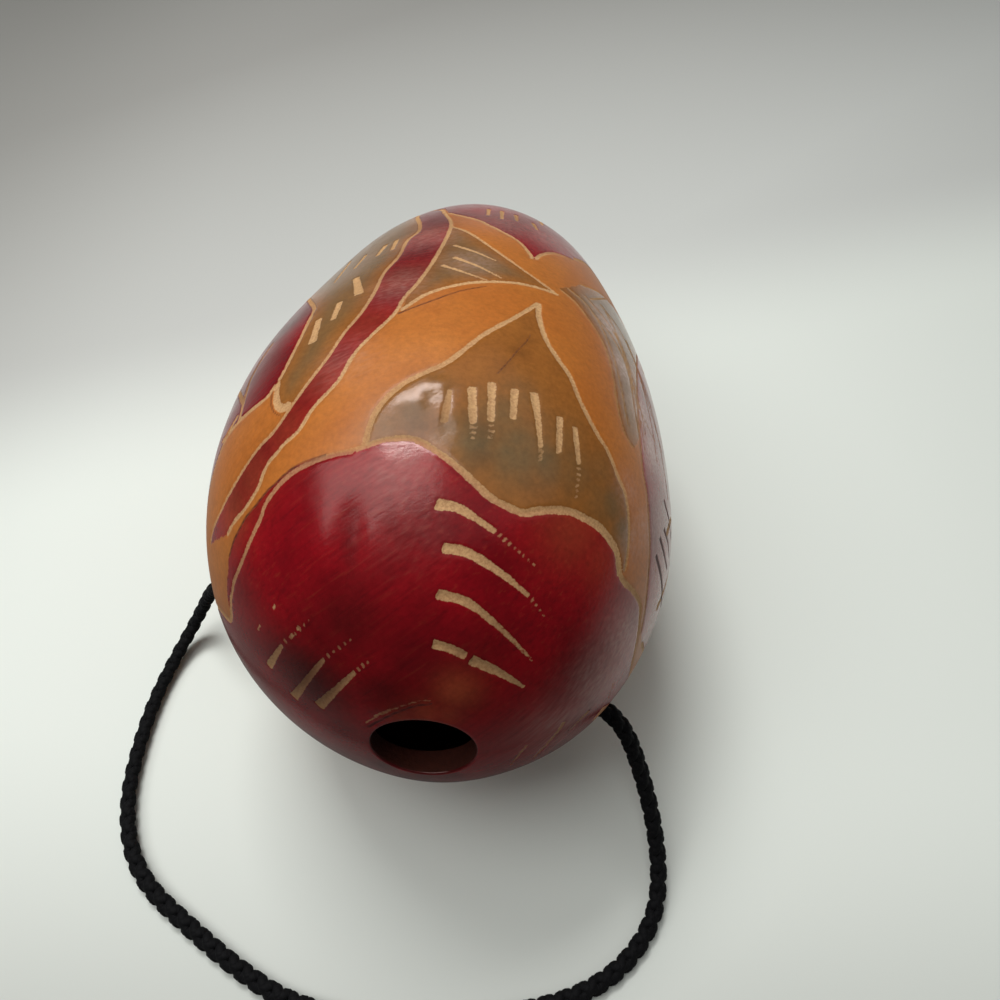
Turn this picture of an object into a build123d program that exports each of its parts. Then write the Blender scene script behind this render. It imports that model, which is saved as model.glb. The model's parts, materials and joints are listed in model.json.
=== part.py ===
"""Carved hanging gourd: a hollow dried shell with a drilled mouth and a cord loop through its flanks.

Frame: millimetres, +Z up, origin at the middle of the flat spot that the shell rests on.
The shell's long axis lies in the YZ plane, with the mouth towards -Y and a little up.
"""
import os
from math import cos, radians, sin, sqrt, tan

from build123d import *

# Shell sizes
BELLY_DIAMETER = 135.0
MOUTH_END_LENGTH = 75.5
STEM_END_LENGTH = 150.0
STEM_END_POWER = 1.85
STEM_SCAR_DIAMETER = 10.0
WALL = 5.5
AXIS_LIFT = 5.5
REST_FLAT_DEPTH = 1.2

# Mouth, drilled square to the shell a little above and beside its pole
MOUTH_DIAMETER = 25.0
MOUTH_LEAN_UP = 5.0
MOUTH_LEAN_SIDE = 2.5

# Cord, its two holes in the flanks and its stopper knots
CORD_DIAMETER = 5.5
CORD_HOLE_CLEARANCE = 0.4
RIGHT_HOLE_STATION = 43.0
RIGHT_HOLE_TURN = 124.0
LEFT_HOLE_STATION = 15.0
LEFT_HOLE_TURN = -116.0
RIGHT_EXIT_RUN = 2.5
LEFT_EXIT_RUN = 6.0
KNOT_DIAMETER = 13.0
KNOT_LENGTH = 11.0
KNOT_TAIL = 9.0
KNOT_CLEARANCE = 0.8

# Where the cord lies outside the shell, from the right hole round to the left hole
CORD_ROUTE = [
    (53.5, -66.6, 38.3),
    (57.6, -70.4, 34.2),
    (60.9, -75.3, 28.3),
    (64.8, -82.4, 20.2),
    (68.0, -91.5, 13.0),
    (69.8, -102.0, 7.0),
    (68.8, -112.5, 4.0),
    (63.5, -122.0, 3.0),
    (54.5, -130.5, 3.0),
    (41.0, -137.0, 3.0),
    (24.0, -141.0, 3.0),
    (5.0, -143.5, 3.0),
    (-15.0, -144.5, 3.0),
    (-35.5, -142.0, 3.0),
    (-53.5, -134.2, 3.0),
    (-70.0, -125.0, 3.0),
    (-85.0, -116.2, 3.0),
    (-95.0, -105.5, 3.0),
    (-101.0, -91.0, 3.0),
    (-103.0, -75.0, 3.0),
    (-103.0, -58.0, 3.0),
    (-100.5, -43.5, 3.5),
    (-96.0, -33.0, 7.5),
    (-90.5, -27.5, 15.5),
    (-85.0, -26.0, 25.0),
    (-78.0, -28.0, 34.0),
]
ARC_SHARE = 0.45
PROFILE_POINTS = 9
STATION_STEPS = 2000

# The shell's own axes: along it to the mouth, up across it, and to its right side
TO_MOUTH = Vector(0, -cos(radians(AXIS_LIFT)), sin(radians(AXIS_LIFT)))
SHELL_UP = Vector(0, sin(radians(AXIS_LIFT)), cos(radians(AXIS_LIFT)))
SHELL_RIGHT = Vector(1, 0, 0)


def radius_at(station):
    """Outer radius of the shell at a distance along its axis, counted from the belly to the mouth."""
    belly_radius = BELLY_DIAMETER / 2
    if station > 0:
        return belly_radius * sqrt(1 - (station / MOUTH_END_LENGTH) ** 2)
    share = (-station / STEM_END_LENGTH) ** STEM_END_POWER
    return belly_radius * (1 - share) ** (1 / STEM_END_POWER)


def lowest_point():
    """Lowest point of the lying shell before its flat is cut, seen from the belly's centre."""
    step = (MOUTH_END_LENGTH + STEM_END_LENGTH) / STATION_STEPS
    stations = [i * step - STEM_END_LENGTH for i in range(1, STATION_STEPS)]
    points = [station * TO_MOUTH - radius_at(station) * SHELL_UP for station in stations]
    return min(points, key=lambda point: point.Z)


def belly_centre():
    """Centre of the belly circle, placed so that the flat spot lies on Z 0 below the origin."""
    lowest = lowest_point()
    return Vector(0, -lowest.Y, -REST_FLAT_DEPTH - lowest.Z)


BELLY = belly_centre()


def shell_point(station, turn):
    """Point on the outside of the shell, turned about its axis from the top towards the right side."""
    outward = sin(radians(turn)) * SHELL_RIGHT + cos(radians(turn)) * SHELL_UP
    return BELLY + station * TO_MOUTH + radius_at(station) * outward


def facing_at(station, turn):
    """Direction that the outside of the shell faces at such a point."""
    length, power = (MOUTH_END_LENGTH, 2) if station > 0 else (STEM_END_LENGTH, STEM_END_POWER)
    belly_radius = BELLY_DIAMETER / 2
    ahead = (abs(station) / length) ** (power - 1) / length
    if station < 0:
        ahead = -ahead
    aside = (radius_at(station) / belly_radius) ** (power - 1) / belly_radius
    outward = sin(radians(turn)) * SHELL_RIGHT + cos(radians(turn)) * SHELL_UP
    return (ahead * TO_MOUTH + aside * outward).normalized()


def stem_curve(length, belly_radius, end_radius):
    """Half outline of the stem end: a superellipse from the belly down to a given radius."""
    power = 2 / STEM_END_POWER
    last = (end_radius / belly_radius) ** (1 / power)
    points = []
    for i in range(PROFILE_POINTS):
        rise = 1 + (last - 1) * i / (PROFILE_POINTS - 1)
        fall = sqrt(1 - rise**2)
        points.append((-length * fall**power, belly_radius * rise**power))
    end_slope = (-length * fall ** (power - 2) * last ** (2 - power), -belly_radius)
    return Spline(points, tangents=[(-1, 0), end_slope])


def egg(mouth_length, stem_length, belly_radius, scar_radius):
    """Solid of revolution about X, with its belly at X 0, its mouth pole at +X and its stem end at -X."""
    mouth_curve = EllipticalCenterArc((0, 0), mouth_length, belly_radius, arc_size=90)
    stem = stem_curve(stem_length, belly_radius, scar_radius)
    stem_end = stem @ 1
    edges = [mouth_curve, stem]
    if scar_radius > 0:
        edges.append(Line(stem_end, (stem_end.X, 0)))
    edges.append(Line((stem_end.X, 0), (mouth_length, 0)))
    return revolve(make_face(Wire(edges)), Axis.X)


def along(start, direction):
    """Plane at a point, facing along a direction."""
    return Plane(origin=start, z_dir=direction)


def rod(start, end, diameter):
    """Round solid from one point to another."""
    height = (end - start).length
    base = (Align.CENTER, Align.CENTER, Align.MIN)
    return along(start, end - start) * Cylinder(diameter / 2, height, align=base)


# Mouth: the point of the shell that faces along the leaning drill
MOUTH_AXIS = (
    cos(radians(MOUTH_LEAN_UP)) * cos(radians(MOUTH_LEAN_SIDE)) * TO_MOUTH
    + sin(radians(MOUTH_LEAN_UP)) * cos(radians(MOUTH_LEAN_SIDE)) * SHELL_UP
    + sin(radians(MOUTH_LEAN_SIDE)) * SHELL_RIGHT
)


def mouth_centre():
    """Point on the mouth end's ellipsoid whose normal is the mouth's axis."""
    ahead = MOUTH_AXIS.dot(TO_MOUTH)
    aside = MOUTH_AXIS - ahead * TO_MOUTH
    long_square = MOUTH_END_LENGTH**2
    wide_square = (BELLY_DIAMETER / 2) ** 2
    reach = sqrt(long_square * ahead**2 + wide_square * aside.length**2)
    return BELLY + (long_square * ahead / reach) * TO_MOUTH + (wide_square / reach) * aside


# Cord line: straight through both holes, and the line that the loop swings about
RIGHT_HOLE = shell_point(RIGHT_HOLE_STATION, RIGHT_HOLE_TURN)
LEFT_HOLE = shell_point(LEFT_HOLE_STATION, LEFT_HOLE_TURN)
TO_RIGHT = (RIGHT_HOLE - LEFT_HOLE).normalized()


def knot_round():
    """Radius of the arc that rounds a knot, and the distance of the arc's centre from the cord line."""
    rise = (KNOT_DIAMETER - CORD_DIAMETER) / 2
    radius = ((KNOT_LENGTH / 2) ** 2 + rise**2) / (2 * rise)
    return radius, KNOT_DIAMETER / 2 - radius


def seat_depth(facing):
    """Depth along the cord line, from the outside, where a knot starts so that it just clears the wall."""
    slant = abs(facing.dot(TO_RIGHT))
    radius, offset = knot_round()
    to_middle = (WALL + radius + KNOT_CLEARANCE + offset * sqrt(1 - slant**2)) / slant
    return to_middle - KNOT_LENGTH / 2


RIGHT_SEAT = RIGHT_HOLE - seat_depth(facing_at(RIGHT_HOLE_STATION, RIGHT_HOLE_TURN)) * TO_RIGHT
LEFT_SEAT = LEFT_HOLE + seat_depth(facing_at(LEFT_HOLE_STATION, LEFT_HOLE_TURN)) * TO_RIGHT


def make_shell():
    """Hollow shell with its mouth, its cord holes and the flat spot that it rests on."""
    belly_radius = BELLY_DIAMETER / 2
    outside = egg(MOUTH_END_LENGTH, STEM_END_LENGTH, belly_radius, STEM_SCAR_DIAMETER / 2)
    hollow = egg(MOUTH_END_LENGTH - WALL, STEM_END_LENGTH - WALL, belly_radius - WALL, 0)
    lie = Plane(origin=BELLY, x_dir=TO_MOUTH, z_dir=SHELL_UP)
    shell = lie * (outside - hollow)
    reach = 2 * WALL
    centre = mouth_centre()
    shell -= rod(centre - reach * MOUTH_AXIS, centre + reach * MOUTH_AXIS, MOUTH_DIAMETER)
    hole = CORD_DIAMETER + 2 * CORD_HOLE_CLEARANCE
    shell -= rod(LEFT_HOLE - reach * TO_RIGHT, RIGHT_HOLE + reach * TO_RIGHT, hole)
    below = (Align.CENTER, Align.CENTER, Align.MAX)
    shell -= Box(BELLY_DIAMETER, STEM_END_LENGTH, BELLY_DIAMETER, align=below)
    return shell


def arc_radii(points):
    """Radius of the cord's arc at each inner point: as large as its two runs allow."""
    radii = []
    for before, here, after in zip(points, points[1:], points[2:]):
        half_turn = radians((here - before).get_angle(after - here)) / 2
        shorter = min((here - before).length, (after - here).length)
        radii.append(ARC_SHARE * shorter / tan(half_turn))
    return radii


def make_cord():
    """Loop of cord from the right knot, round in front of the mouth, to the left knot."""
    points = [RIGHT_SEAT, RIGHT_HOLE + RIGHT_EXIT_RUN * TO_RIGHT]
    points += [Vector(*point) for point in CORD_ROUTE]
    points += [LEFT_HOLE - LEFT_EXIT_RUN * TO_RIGHT, LEFT_SEAT]
    radii = arc_radii(points)
    print("cord arc radii:", [round(radius, 1) for radius in radii])
    path = FilletPolyline(*points, radius=radii)
    section = along(RIGHT_SEAT, TO_RIGHT) * Circle(CORD_DIAMETER / 2)
    tube = sweep(section, path=path)
    plain_volume = section.area * path.length
    print("cord length:", round(path.length, 1), "volume share:", round(tube.volume / plain_volume, 4))
    return tube


def make_knot(seat, inward):
    """Stopper knot on the cord line: a rounded lump with a short tail, its flat face on the cord's end."""
    waist = CORD_DIAMETER / 2
    tail_end = KNOT_LENGTH + KNOT_TAIL
    outline = ThreePointArc((0, waist), (KNOT_LENGTH / 2, KNOT_DIAMETER / 2), (KNOT_LENGTH, waist))
    tail = Polyline((KNOT_LENGTH, waist), (tail_end, waist), (tail_end, 0), (0, 0), (0, waist))
    lump = revolve(make_face(Wire([outline] + tail.edges())), Axis.X)
    side = Vector(0, 0, 1)
    return Plane(origin=seat, x_dir=inward, z_dir=side - side.dot(inward) * inward) * lump


PARTS = {
    "gourd_shell": make_shell(),
    "hanging_cord": make_cord(),
    "knot_right": make_knot(RIGHT_SEAT, -TO_RIGHT),
    "knot_left": make_knot(LEFT_SEAT, TO_RIGHT),
}

os.makedirs("parts", exist_ok=True)
for name, shape in PARTS.items():
    export_step(shape, f"parts/{name}.step")
    print(name, "volume", round(shape.volume), "valid", shape.is_valid)
print("mouth centre", mouth_centre(), "mouth axis", MOUTH_AXIS)
print("right hole", RIGHT_HOLE, "left hole", LEFT_HOLE, "cord line", TO_RIGHT)
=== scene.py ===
import json
import math

import bpy
import numpy as np
from bpy.props import FloatProperty, FloatVectorProperty, IntProperty, PointerProperty
from mathutils import Euler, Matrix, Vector
from mathutils.bvhtree import BVHTree
from mathutils.kdtree import KDTree


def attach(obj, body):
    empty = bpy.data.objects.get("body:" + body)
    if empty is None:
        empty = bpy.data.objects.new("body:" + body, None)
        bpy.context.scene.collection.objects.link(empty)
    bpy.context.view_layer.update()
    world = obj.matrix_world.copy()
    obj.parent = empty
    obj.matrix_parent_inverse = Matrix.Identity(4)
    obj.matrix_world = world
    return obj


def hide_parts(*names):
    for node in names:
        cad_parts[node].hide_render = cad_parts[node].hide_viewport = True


bl_info = {
    "name": "Carved Gourd",
    "version": (1, 0, 0),
    "blender": (4, 5, 0),
    "location": "View3D > Sidebar > Gourd",
    "description": "Builds a dyed and carved gourd with a braided hanging cord around its fixed frame",
    "category": "Object",
}

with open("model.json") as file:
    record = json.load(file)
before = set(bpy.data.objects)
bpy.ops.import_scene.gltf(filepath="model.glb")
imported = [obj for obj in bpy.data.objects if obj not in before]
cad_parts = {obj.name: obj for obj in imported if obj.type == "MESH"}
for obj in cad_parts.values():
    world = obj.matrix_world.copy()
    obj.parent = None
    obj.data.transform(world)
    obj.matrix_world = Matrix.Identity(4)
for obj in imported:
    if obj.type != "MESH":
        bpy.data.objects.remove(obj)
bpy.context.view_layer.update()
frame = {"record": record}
MOUNTS = {mount["name"]: mount for mount in frame["record"]["mounts"]}
MM = 0.001
# Brightness of the room as the camera sees it, and as a light on the gourd
BACKDROP_LEVEL = 0.85
ROOM_LEVEL = 0.06
# Pulled tight in a knot, the cord is this share of its own thickness
KNOT_TIGHTNESS = 0.92
# Places of the shell's finishes in its list of materials
RIND, FLESH, SCAR = range(3)
CARVING_SEED = 7


def colour(code):
    """Linear red, green and blue of an sRGB hex value."""
    channels = [int(code[i:i + 2], 16) / 255 for i in (0, 2, 4)]
    return tuple(c / 12.92 if c <= 0.04045 else ((c + 0.055) / 1.055) ** 2.4 for c in channels)


# The cord's route in metres, from the seat inside the right flank to the seat inside the left one
CORD_POINTS = (
    (0.03662, -0.06076, 0.04024),
    (0.04250, -0.06230, 0.04030),
    (0.04841, -0.06390, 0.04031),
    (0.0535, -0.0666, 0.0383),
    (0.0576, -0.0704, 0.0342),
    (0.0609, -0.0753, 0.0283),
    (0.0648, -0.0824, 0.0202),
    (0.0680, -0.0915, 0.0130),
    (0.0698, -0.1020, 0.0070),
    (0.0688, -0.1125, 0.0040),
    (0.0635, -0.1220, 0.0030),
    (0.0545, -0.1305, 0.0030),
    (0.0410, -0.1370, 0.0030),
    (0.0240, -0.1410, 0.0030),
    (0.0050, -0.1435, 0.0030),
    (-0.0150, -0.1445, 0.0030),
    (-0.0355, -0.1420, 0.0030),
    (-0.0535, -0.1342, 0.0030),
    (-0.0700, -0.1250, 0.0030),
    (-0.0850, -0.1162, 0.0030),
    (-0.0950, -0.1055, 0.0030),
    (-0.1010, -0.0910, 0.0030),
    (-0.1030, -0.0750, 0.0030),
    (-0.1030, -0.0580, 0.0030),
    (-0.1005, -0.0435, 0.0035),
    (-0.0960, -0.0330, 0.0075),
    (-0.0905, -0.0275, 0.0155),
    (-0.0850, -0.0260, 0.0250),
    (-0.0780, -0.0280, 0.0340),
    (-0.06526, -0.03365, 0.03959),
    (-0.04962, -0.03781, 0.03969),
)
RIGHT_HOLE = np.array((0.0459973, -0.0632596, 0.0402947))
LEFT_HOLE = np.array((-0.0594592, -0.0351944, 0.039627))
TO_RIGHT = (RIGHT_HOLE - LEFT_HOLE) / np.linalg.norm(RIGHT_HOLE - LEFT_HOLE)

# The carving, read from the photograph, in pixels of a frame 1000 wide and 1000 high
PICTURE_SIDE = 1000
FLOWER_EDGE_LEFT = (
    (230, 604), (232, 592), (234, 581), (238, 571), (244, 556), (250, 541), (256, 528), (261, 517),
    (265, 505), (272, 494), (284, 480), (300, 468), (326, 457), (355, 450),
)
FLOWER_EDGE_RIGHT = (
    (355, 450), (366, 446), (384, 440), (406, 438), (419, 441), (433, 449), (450, 461), (464, 473),
    (479, 487), (490, 497), (506, 506), (524, 513), (537, 511), (555, 510), (571, 512), (584, 518),
    (599, 527), (610, 540), (617, 553), (620, 575),
)
FLOWER_DYE_LEFT = (
    (229, 608), (227, 590), (228, 571), (229, 557), (234, 540), (240, 528), (246, 517), (256, 505),
    (263, 496), (269, 489), (277, 482), (285, 474), (300, 464), (326, 455),
)
FLOWER_SIDE = (
    (620, 575), (625, 583), (633, 591), (640, 603), (640, 618), (638, 636), (633, 660), (627, 681),
    (611, 703),
)
LEAF_LEFT = (
    (539, 303), (514, 318), (483, 335), (449, 361), (428, 371), (406, 382), (388, 396), (375, 413),
    (368, 431), (365, 445),
)
LEAF_RIGHT = (
    (539, 303), (539, 316), (546, 339), (559, 360), (570, 376), (580, 400), (591, 422), (600, 438),
    (608, 451), (618, 476), (626, 496), (629, 524), (628, 551), (625, 571),
)
STEM_LEFT = (
    (420, 222), (419, 231), (407, 241), (399, 256), (384, 273), (374, 293), (361, 313), (344, 333),
    (328, 357), (311, 379), (295, 401), (275, 430), (261, 445), (249, 461), (236, 482), (226, 500),
    (220, 513), (213, 529), (210, 545),
)
STEM_RIGHT = (
    (445, 213), (451, 226), (437, 255), (420, 280), (404, 298), (394, 314), (374, 333), (359, 348),
    (349, 362), (338, 381), (314, 407), (299, 430), (285, 443), (276, 454), (269, 462), (263, 474),
    (259, 486), (252, 498), (244, 510), (234, 522), (227, 535),
)
SIDE_LEAF_LINE = (
    (308, 299), (314, 308), (311, 316), (304, 331), (295, 349), (285, 369), (278, 382),
)
SIDE_LEAF_HOOK = ((278, 382), (276, 396), (278, 406), (285, 408), (290, 403))
PETAL_LOWER = ((276, 384), (268, 396), (255, 407), (241, 419), (230, 432), (222, 442))
PETAL_UPPER = ((273, 343), (260, 362), (250, 381), (244, 401), (239, 421))
SMALL_LEAF_UPPER = ((451, 226), (468, 232), (491, 247), (521, 268), (556, 293))
SMALL_LEAF_LOWER = ((401, 310), (429, 293), (468, 283), (506, 282), (536, 287), (559, 295))
FAR_FLOWER_NEAR = ((449, 213), (475, 219), (487, 224), (517, 240), (530, 254), (532, 259))
FAR_FLOWER_SIDE = ((536, 259), (541, 255), (552, 253), (561, 255), (573, 260))
RIGHT_LEAF_LINE = (
    (560, 289), (575, 302), (587, 317), (597, 332), (607, 352), (613, 377), (618, 409), (625, 434),
    (634, 449),
)
RIGHT_FLOWER_TOP = ((637, 350), (637, 380), (638, 410), (640, 435))
RIGHT_FLOWER_LINE = RIGHT_FLOWER_TOP + (
    (643, 469), (647, 494), (649, 519), (650, 549), (648, 583), (645, 611), (641, 633),
)

# The carving on the sides that the photograph doesn't show, as places on the shell:
# millimetres along its axis from the belly towards the mouth, and degrees round it from the top to the right
FLOWER_UNDER = (
    (55, 97), (56, 104), (48, 112), (41, 124), (37, 138), (38, 152), (45, 162), (49, 167), (43, 173),
    (36, 184), (34, 198), (37, 212), (45, 222), (48, 226), (42, 232), (36, 243), (34, 256), (37, 270),
    (43, 282), (50, 290), (48, 299),
)
FAR_FLOWER_RING = (
    (-71, 37), (-80, 46), (-79, 55), (-68, 62), (-60, 72), (-60, 84), (-68, 94), (-77, 99), (-68, 104),
    (-58, 114), (-56, 127), (-64, 138), (-74, 143), (-66, 148), (-57, 158), (-54, 172), (-59, 184),
    (-70, 192), (-74, 196), (-65, 200), (-57, 211), (-55, 224), (-62, 236), (-76, 243), (-70, 250),
    (-61, 261), (-60, 274), (-68, 287), (-84, 296), (-95, 306), (-103, 320), (-104, 336), (-94, 350),
)
STEM_TOP_LEFT = ((-76, -15), (-90, -20), (-104, -24))
STEM_TOP_RIGHT = ((-84, -8), (-91, -10), (-97, -13))
SIDE_LEAF_TOP = ((-28, -64), (-44, -66), (-62, -64), (-80, -58), (-94, -46), (-99, -32), (-94, -20))
LEFT_FLOWER = (
    (7, -48), (14, -58), (20, -70), (19, -83), (10, -90), (6, -93), (8, -100), (4, -112), (-8, -119),
    (-20, -116), (-27, -108), (-30, -104), (-38, -104), (-46, -98), (-48, -88), (-42, -79), (-36, -74),
    (-28, -68),
)
LEFT_LEAF = (
    (30, -106), (24, -97), (14, -99), (8, -108), (6, -118), (0, -128), (-12, -136), (-28, -139),
    (-42, -138), (-30, -147), (-12, -152), (6, -149), (20, -140), (29, -126), (30, -106),
)
RIGHT_FLOWER = (
    (43, 84), (40, 93), (34, 100), (32, 106), (30, 114), (22, 121), (10, 124), (0, 120), (-8, 114),
    (-14, 112), (-24, 112), (-36, 106), (-44, 96), (-45, 86), (-44, 78), (-42, 70), (-38, 63),
)
RIGHT_LEAF_TOP = ((-42, 66), (-50, 70), (-56, 62), (-60, 54), (-58, 46), (-50, 36))
UNDER_LEAF = (
    (-44, 165), (-30, 158), (-12, 150), (6, 146), (22, 149), (33, 157), (34, 170), (34, 182), (26, 188),
    (10, 190), (-8, 186), (-26, 176), (-44, 165),
)
UNDER_STEM_LEFT = ((-52, 190), (-36, 194), (-16, 200), (4, 204), (20, 206), (35, 205))
UNDER_STEM_RIGHT = ((-55, 200), (-38, 204), (-16, 209), (4, 213), (20, 215), (36, 214))
RIGHT_STEM_LEFT = ((-56, 120), (-40, 126), (-20, 131), (2, 135), (20, 137), (37, 138))
RIGHT_STEM_RIGHT = ((-58, 130), (-40, 134), (-20, 139), (2, 142), (20, 143), (37, 144))

# Where a line was read: in the picture, or as places on the shell
PICTURE = "picture"
SHELL = "shell"
# How bare of dye chatter marks are, next to the stroke that they carry on
CHATTER_BARE = 0.65

# Lines between the dyed fields: where they were read, their widths in millimetres at start and end,
# how bare of dye they are at start and end, and their points
FIELD_LINES = (
    (PICTURE, 1.1, 1.3, 0.8, 0.4, FLOWER_EDGE_LEFT),
    (PICTURE, 1.3, 2.1, 0.55, 1.0, FLOWER_EDGE_RIGHT),
    (PICTURE, 1.6, 1.0, 0.9, 0.6, FLOWER_SIDE),
    (SHELL, 1.4, 1.4, 0.9, 0.9, FLOWER_UNDER),
    (PICTURE, 1.15, 1.5, 1.0, 0.6, LEAF_LEFT),
    (PICTURE, 1.7, 1.1, 1.0, 0.7, LEAF_RIGHT),
    (PICTURE, 1.2, 1.0, 0.9, 0.7, STEM_LEFT),
    (PICTURE, 1.2, 1.1, 1.0, 0.9, STEM_RIGHT),
    (SHELL, 1.4, 1.4, 0.9, 0.9, STEM_TOP_LEFT),
    (SHELL, 1.4, 1.4, 0.9, 0.9, STEM_TOP_RIGHT),
    (PICTURE, 1.3, 1.2, 0.9, 0.9, SIDE_LEAF_LINE),
    (PICTURE, 1.8, 2.4, 0.9, 0.9, SIDE_LEAF_HOOK),
    (SHELL, 1.4, 1.4, 0.9, 0.9, SIDE_LEAF_TOP),
    (PICTURE, 1.3, 1.3, 0.9, 0.9, PETAL_LOWER),
    (PICTURE, 1.3, 1.3, 0.9, 0.9, PETAL_UPPER),
    (SHELL, 1.4, 1.4, 0.9, 0.9, LEFT_FLOWER),
    (SHELL, 1.4, 1.4, 0.9, 0.9, LEFT_LEAF),
    (PICTURE, 1.1, 1.1, 0.9, 0.9, SMALL_LEAF_UPPER),
    (PICTURE, 1.3, 1.2, 1.0, 1.0, SMALL_LEAF_LOWER),
    (PICTURE, 1.2, 1.3, 0.9, 0.9, FAR_FLOWER_NEAR),
    (PICTURE, 1.3, 1.2, 0.9, 0.6, FAR_FLOWER_SIDE),
    (SHELL, 1.4, 1.4, 0.9, 0.9, FAR_FLOWER_RING),
    (PICTURE, 0.9, 0.9, 0.6, 0.4, RIGHT_LEAF_LINE),
    (PICTURE, 0.9, 1.1, 0.4, 0.6, RIGHT_FLOWER_LINE),
    (SHELL, 1.0, 1.0, 0.5, 0.5, RIGHT_LEAF_TOP),
    (SHELL, 1.4, 1.4, 0.9, 0.9, RIGHT_FLOWER),
    (SHELL, 1.4, 1.4, 0.9, 0.9, UNDER_LEAF),
    (SHELL, 1.4, 1.4, 0.9, 0.9, UNDER_STEM_LEFT),
    (SHELL, 1.4, 1.4, 0.9, 0.9, UNDER_STEM_RIGHT),
    (SHELL, 1.4, 1.4, 0.9, 0.9, RIGHT_STEM_LEFT),
    (SHELL, 1.4, 1.4, 0.9, 0.9, RIGHT_STEM_RIGHT),
)

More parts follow.
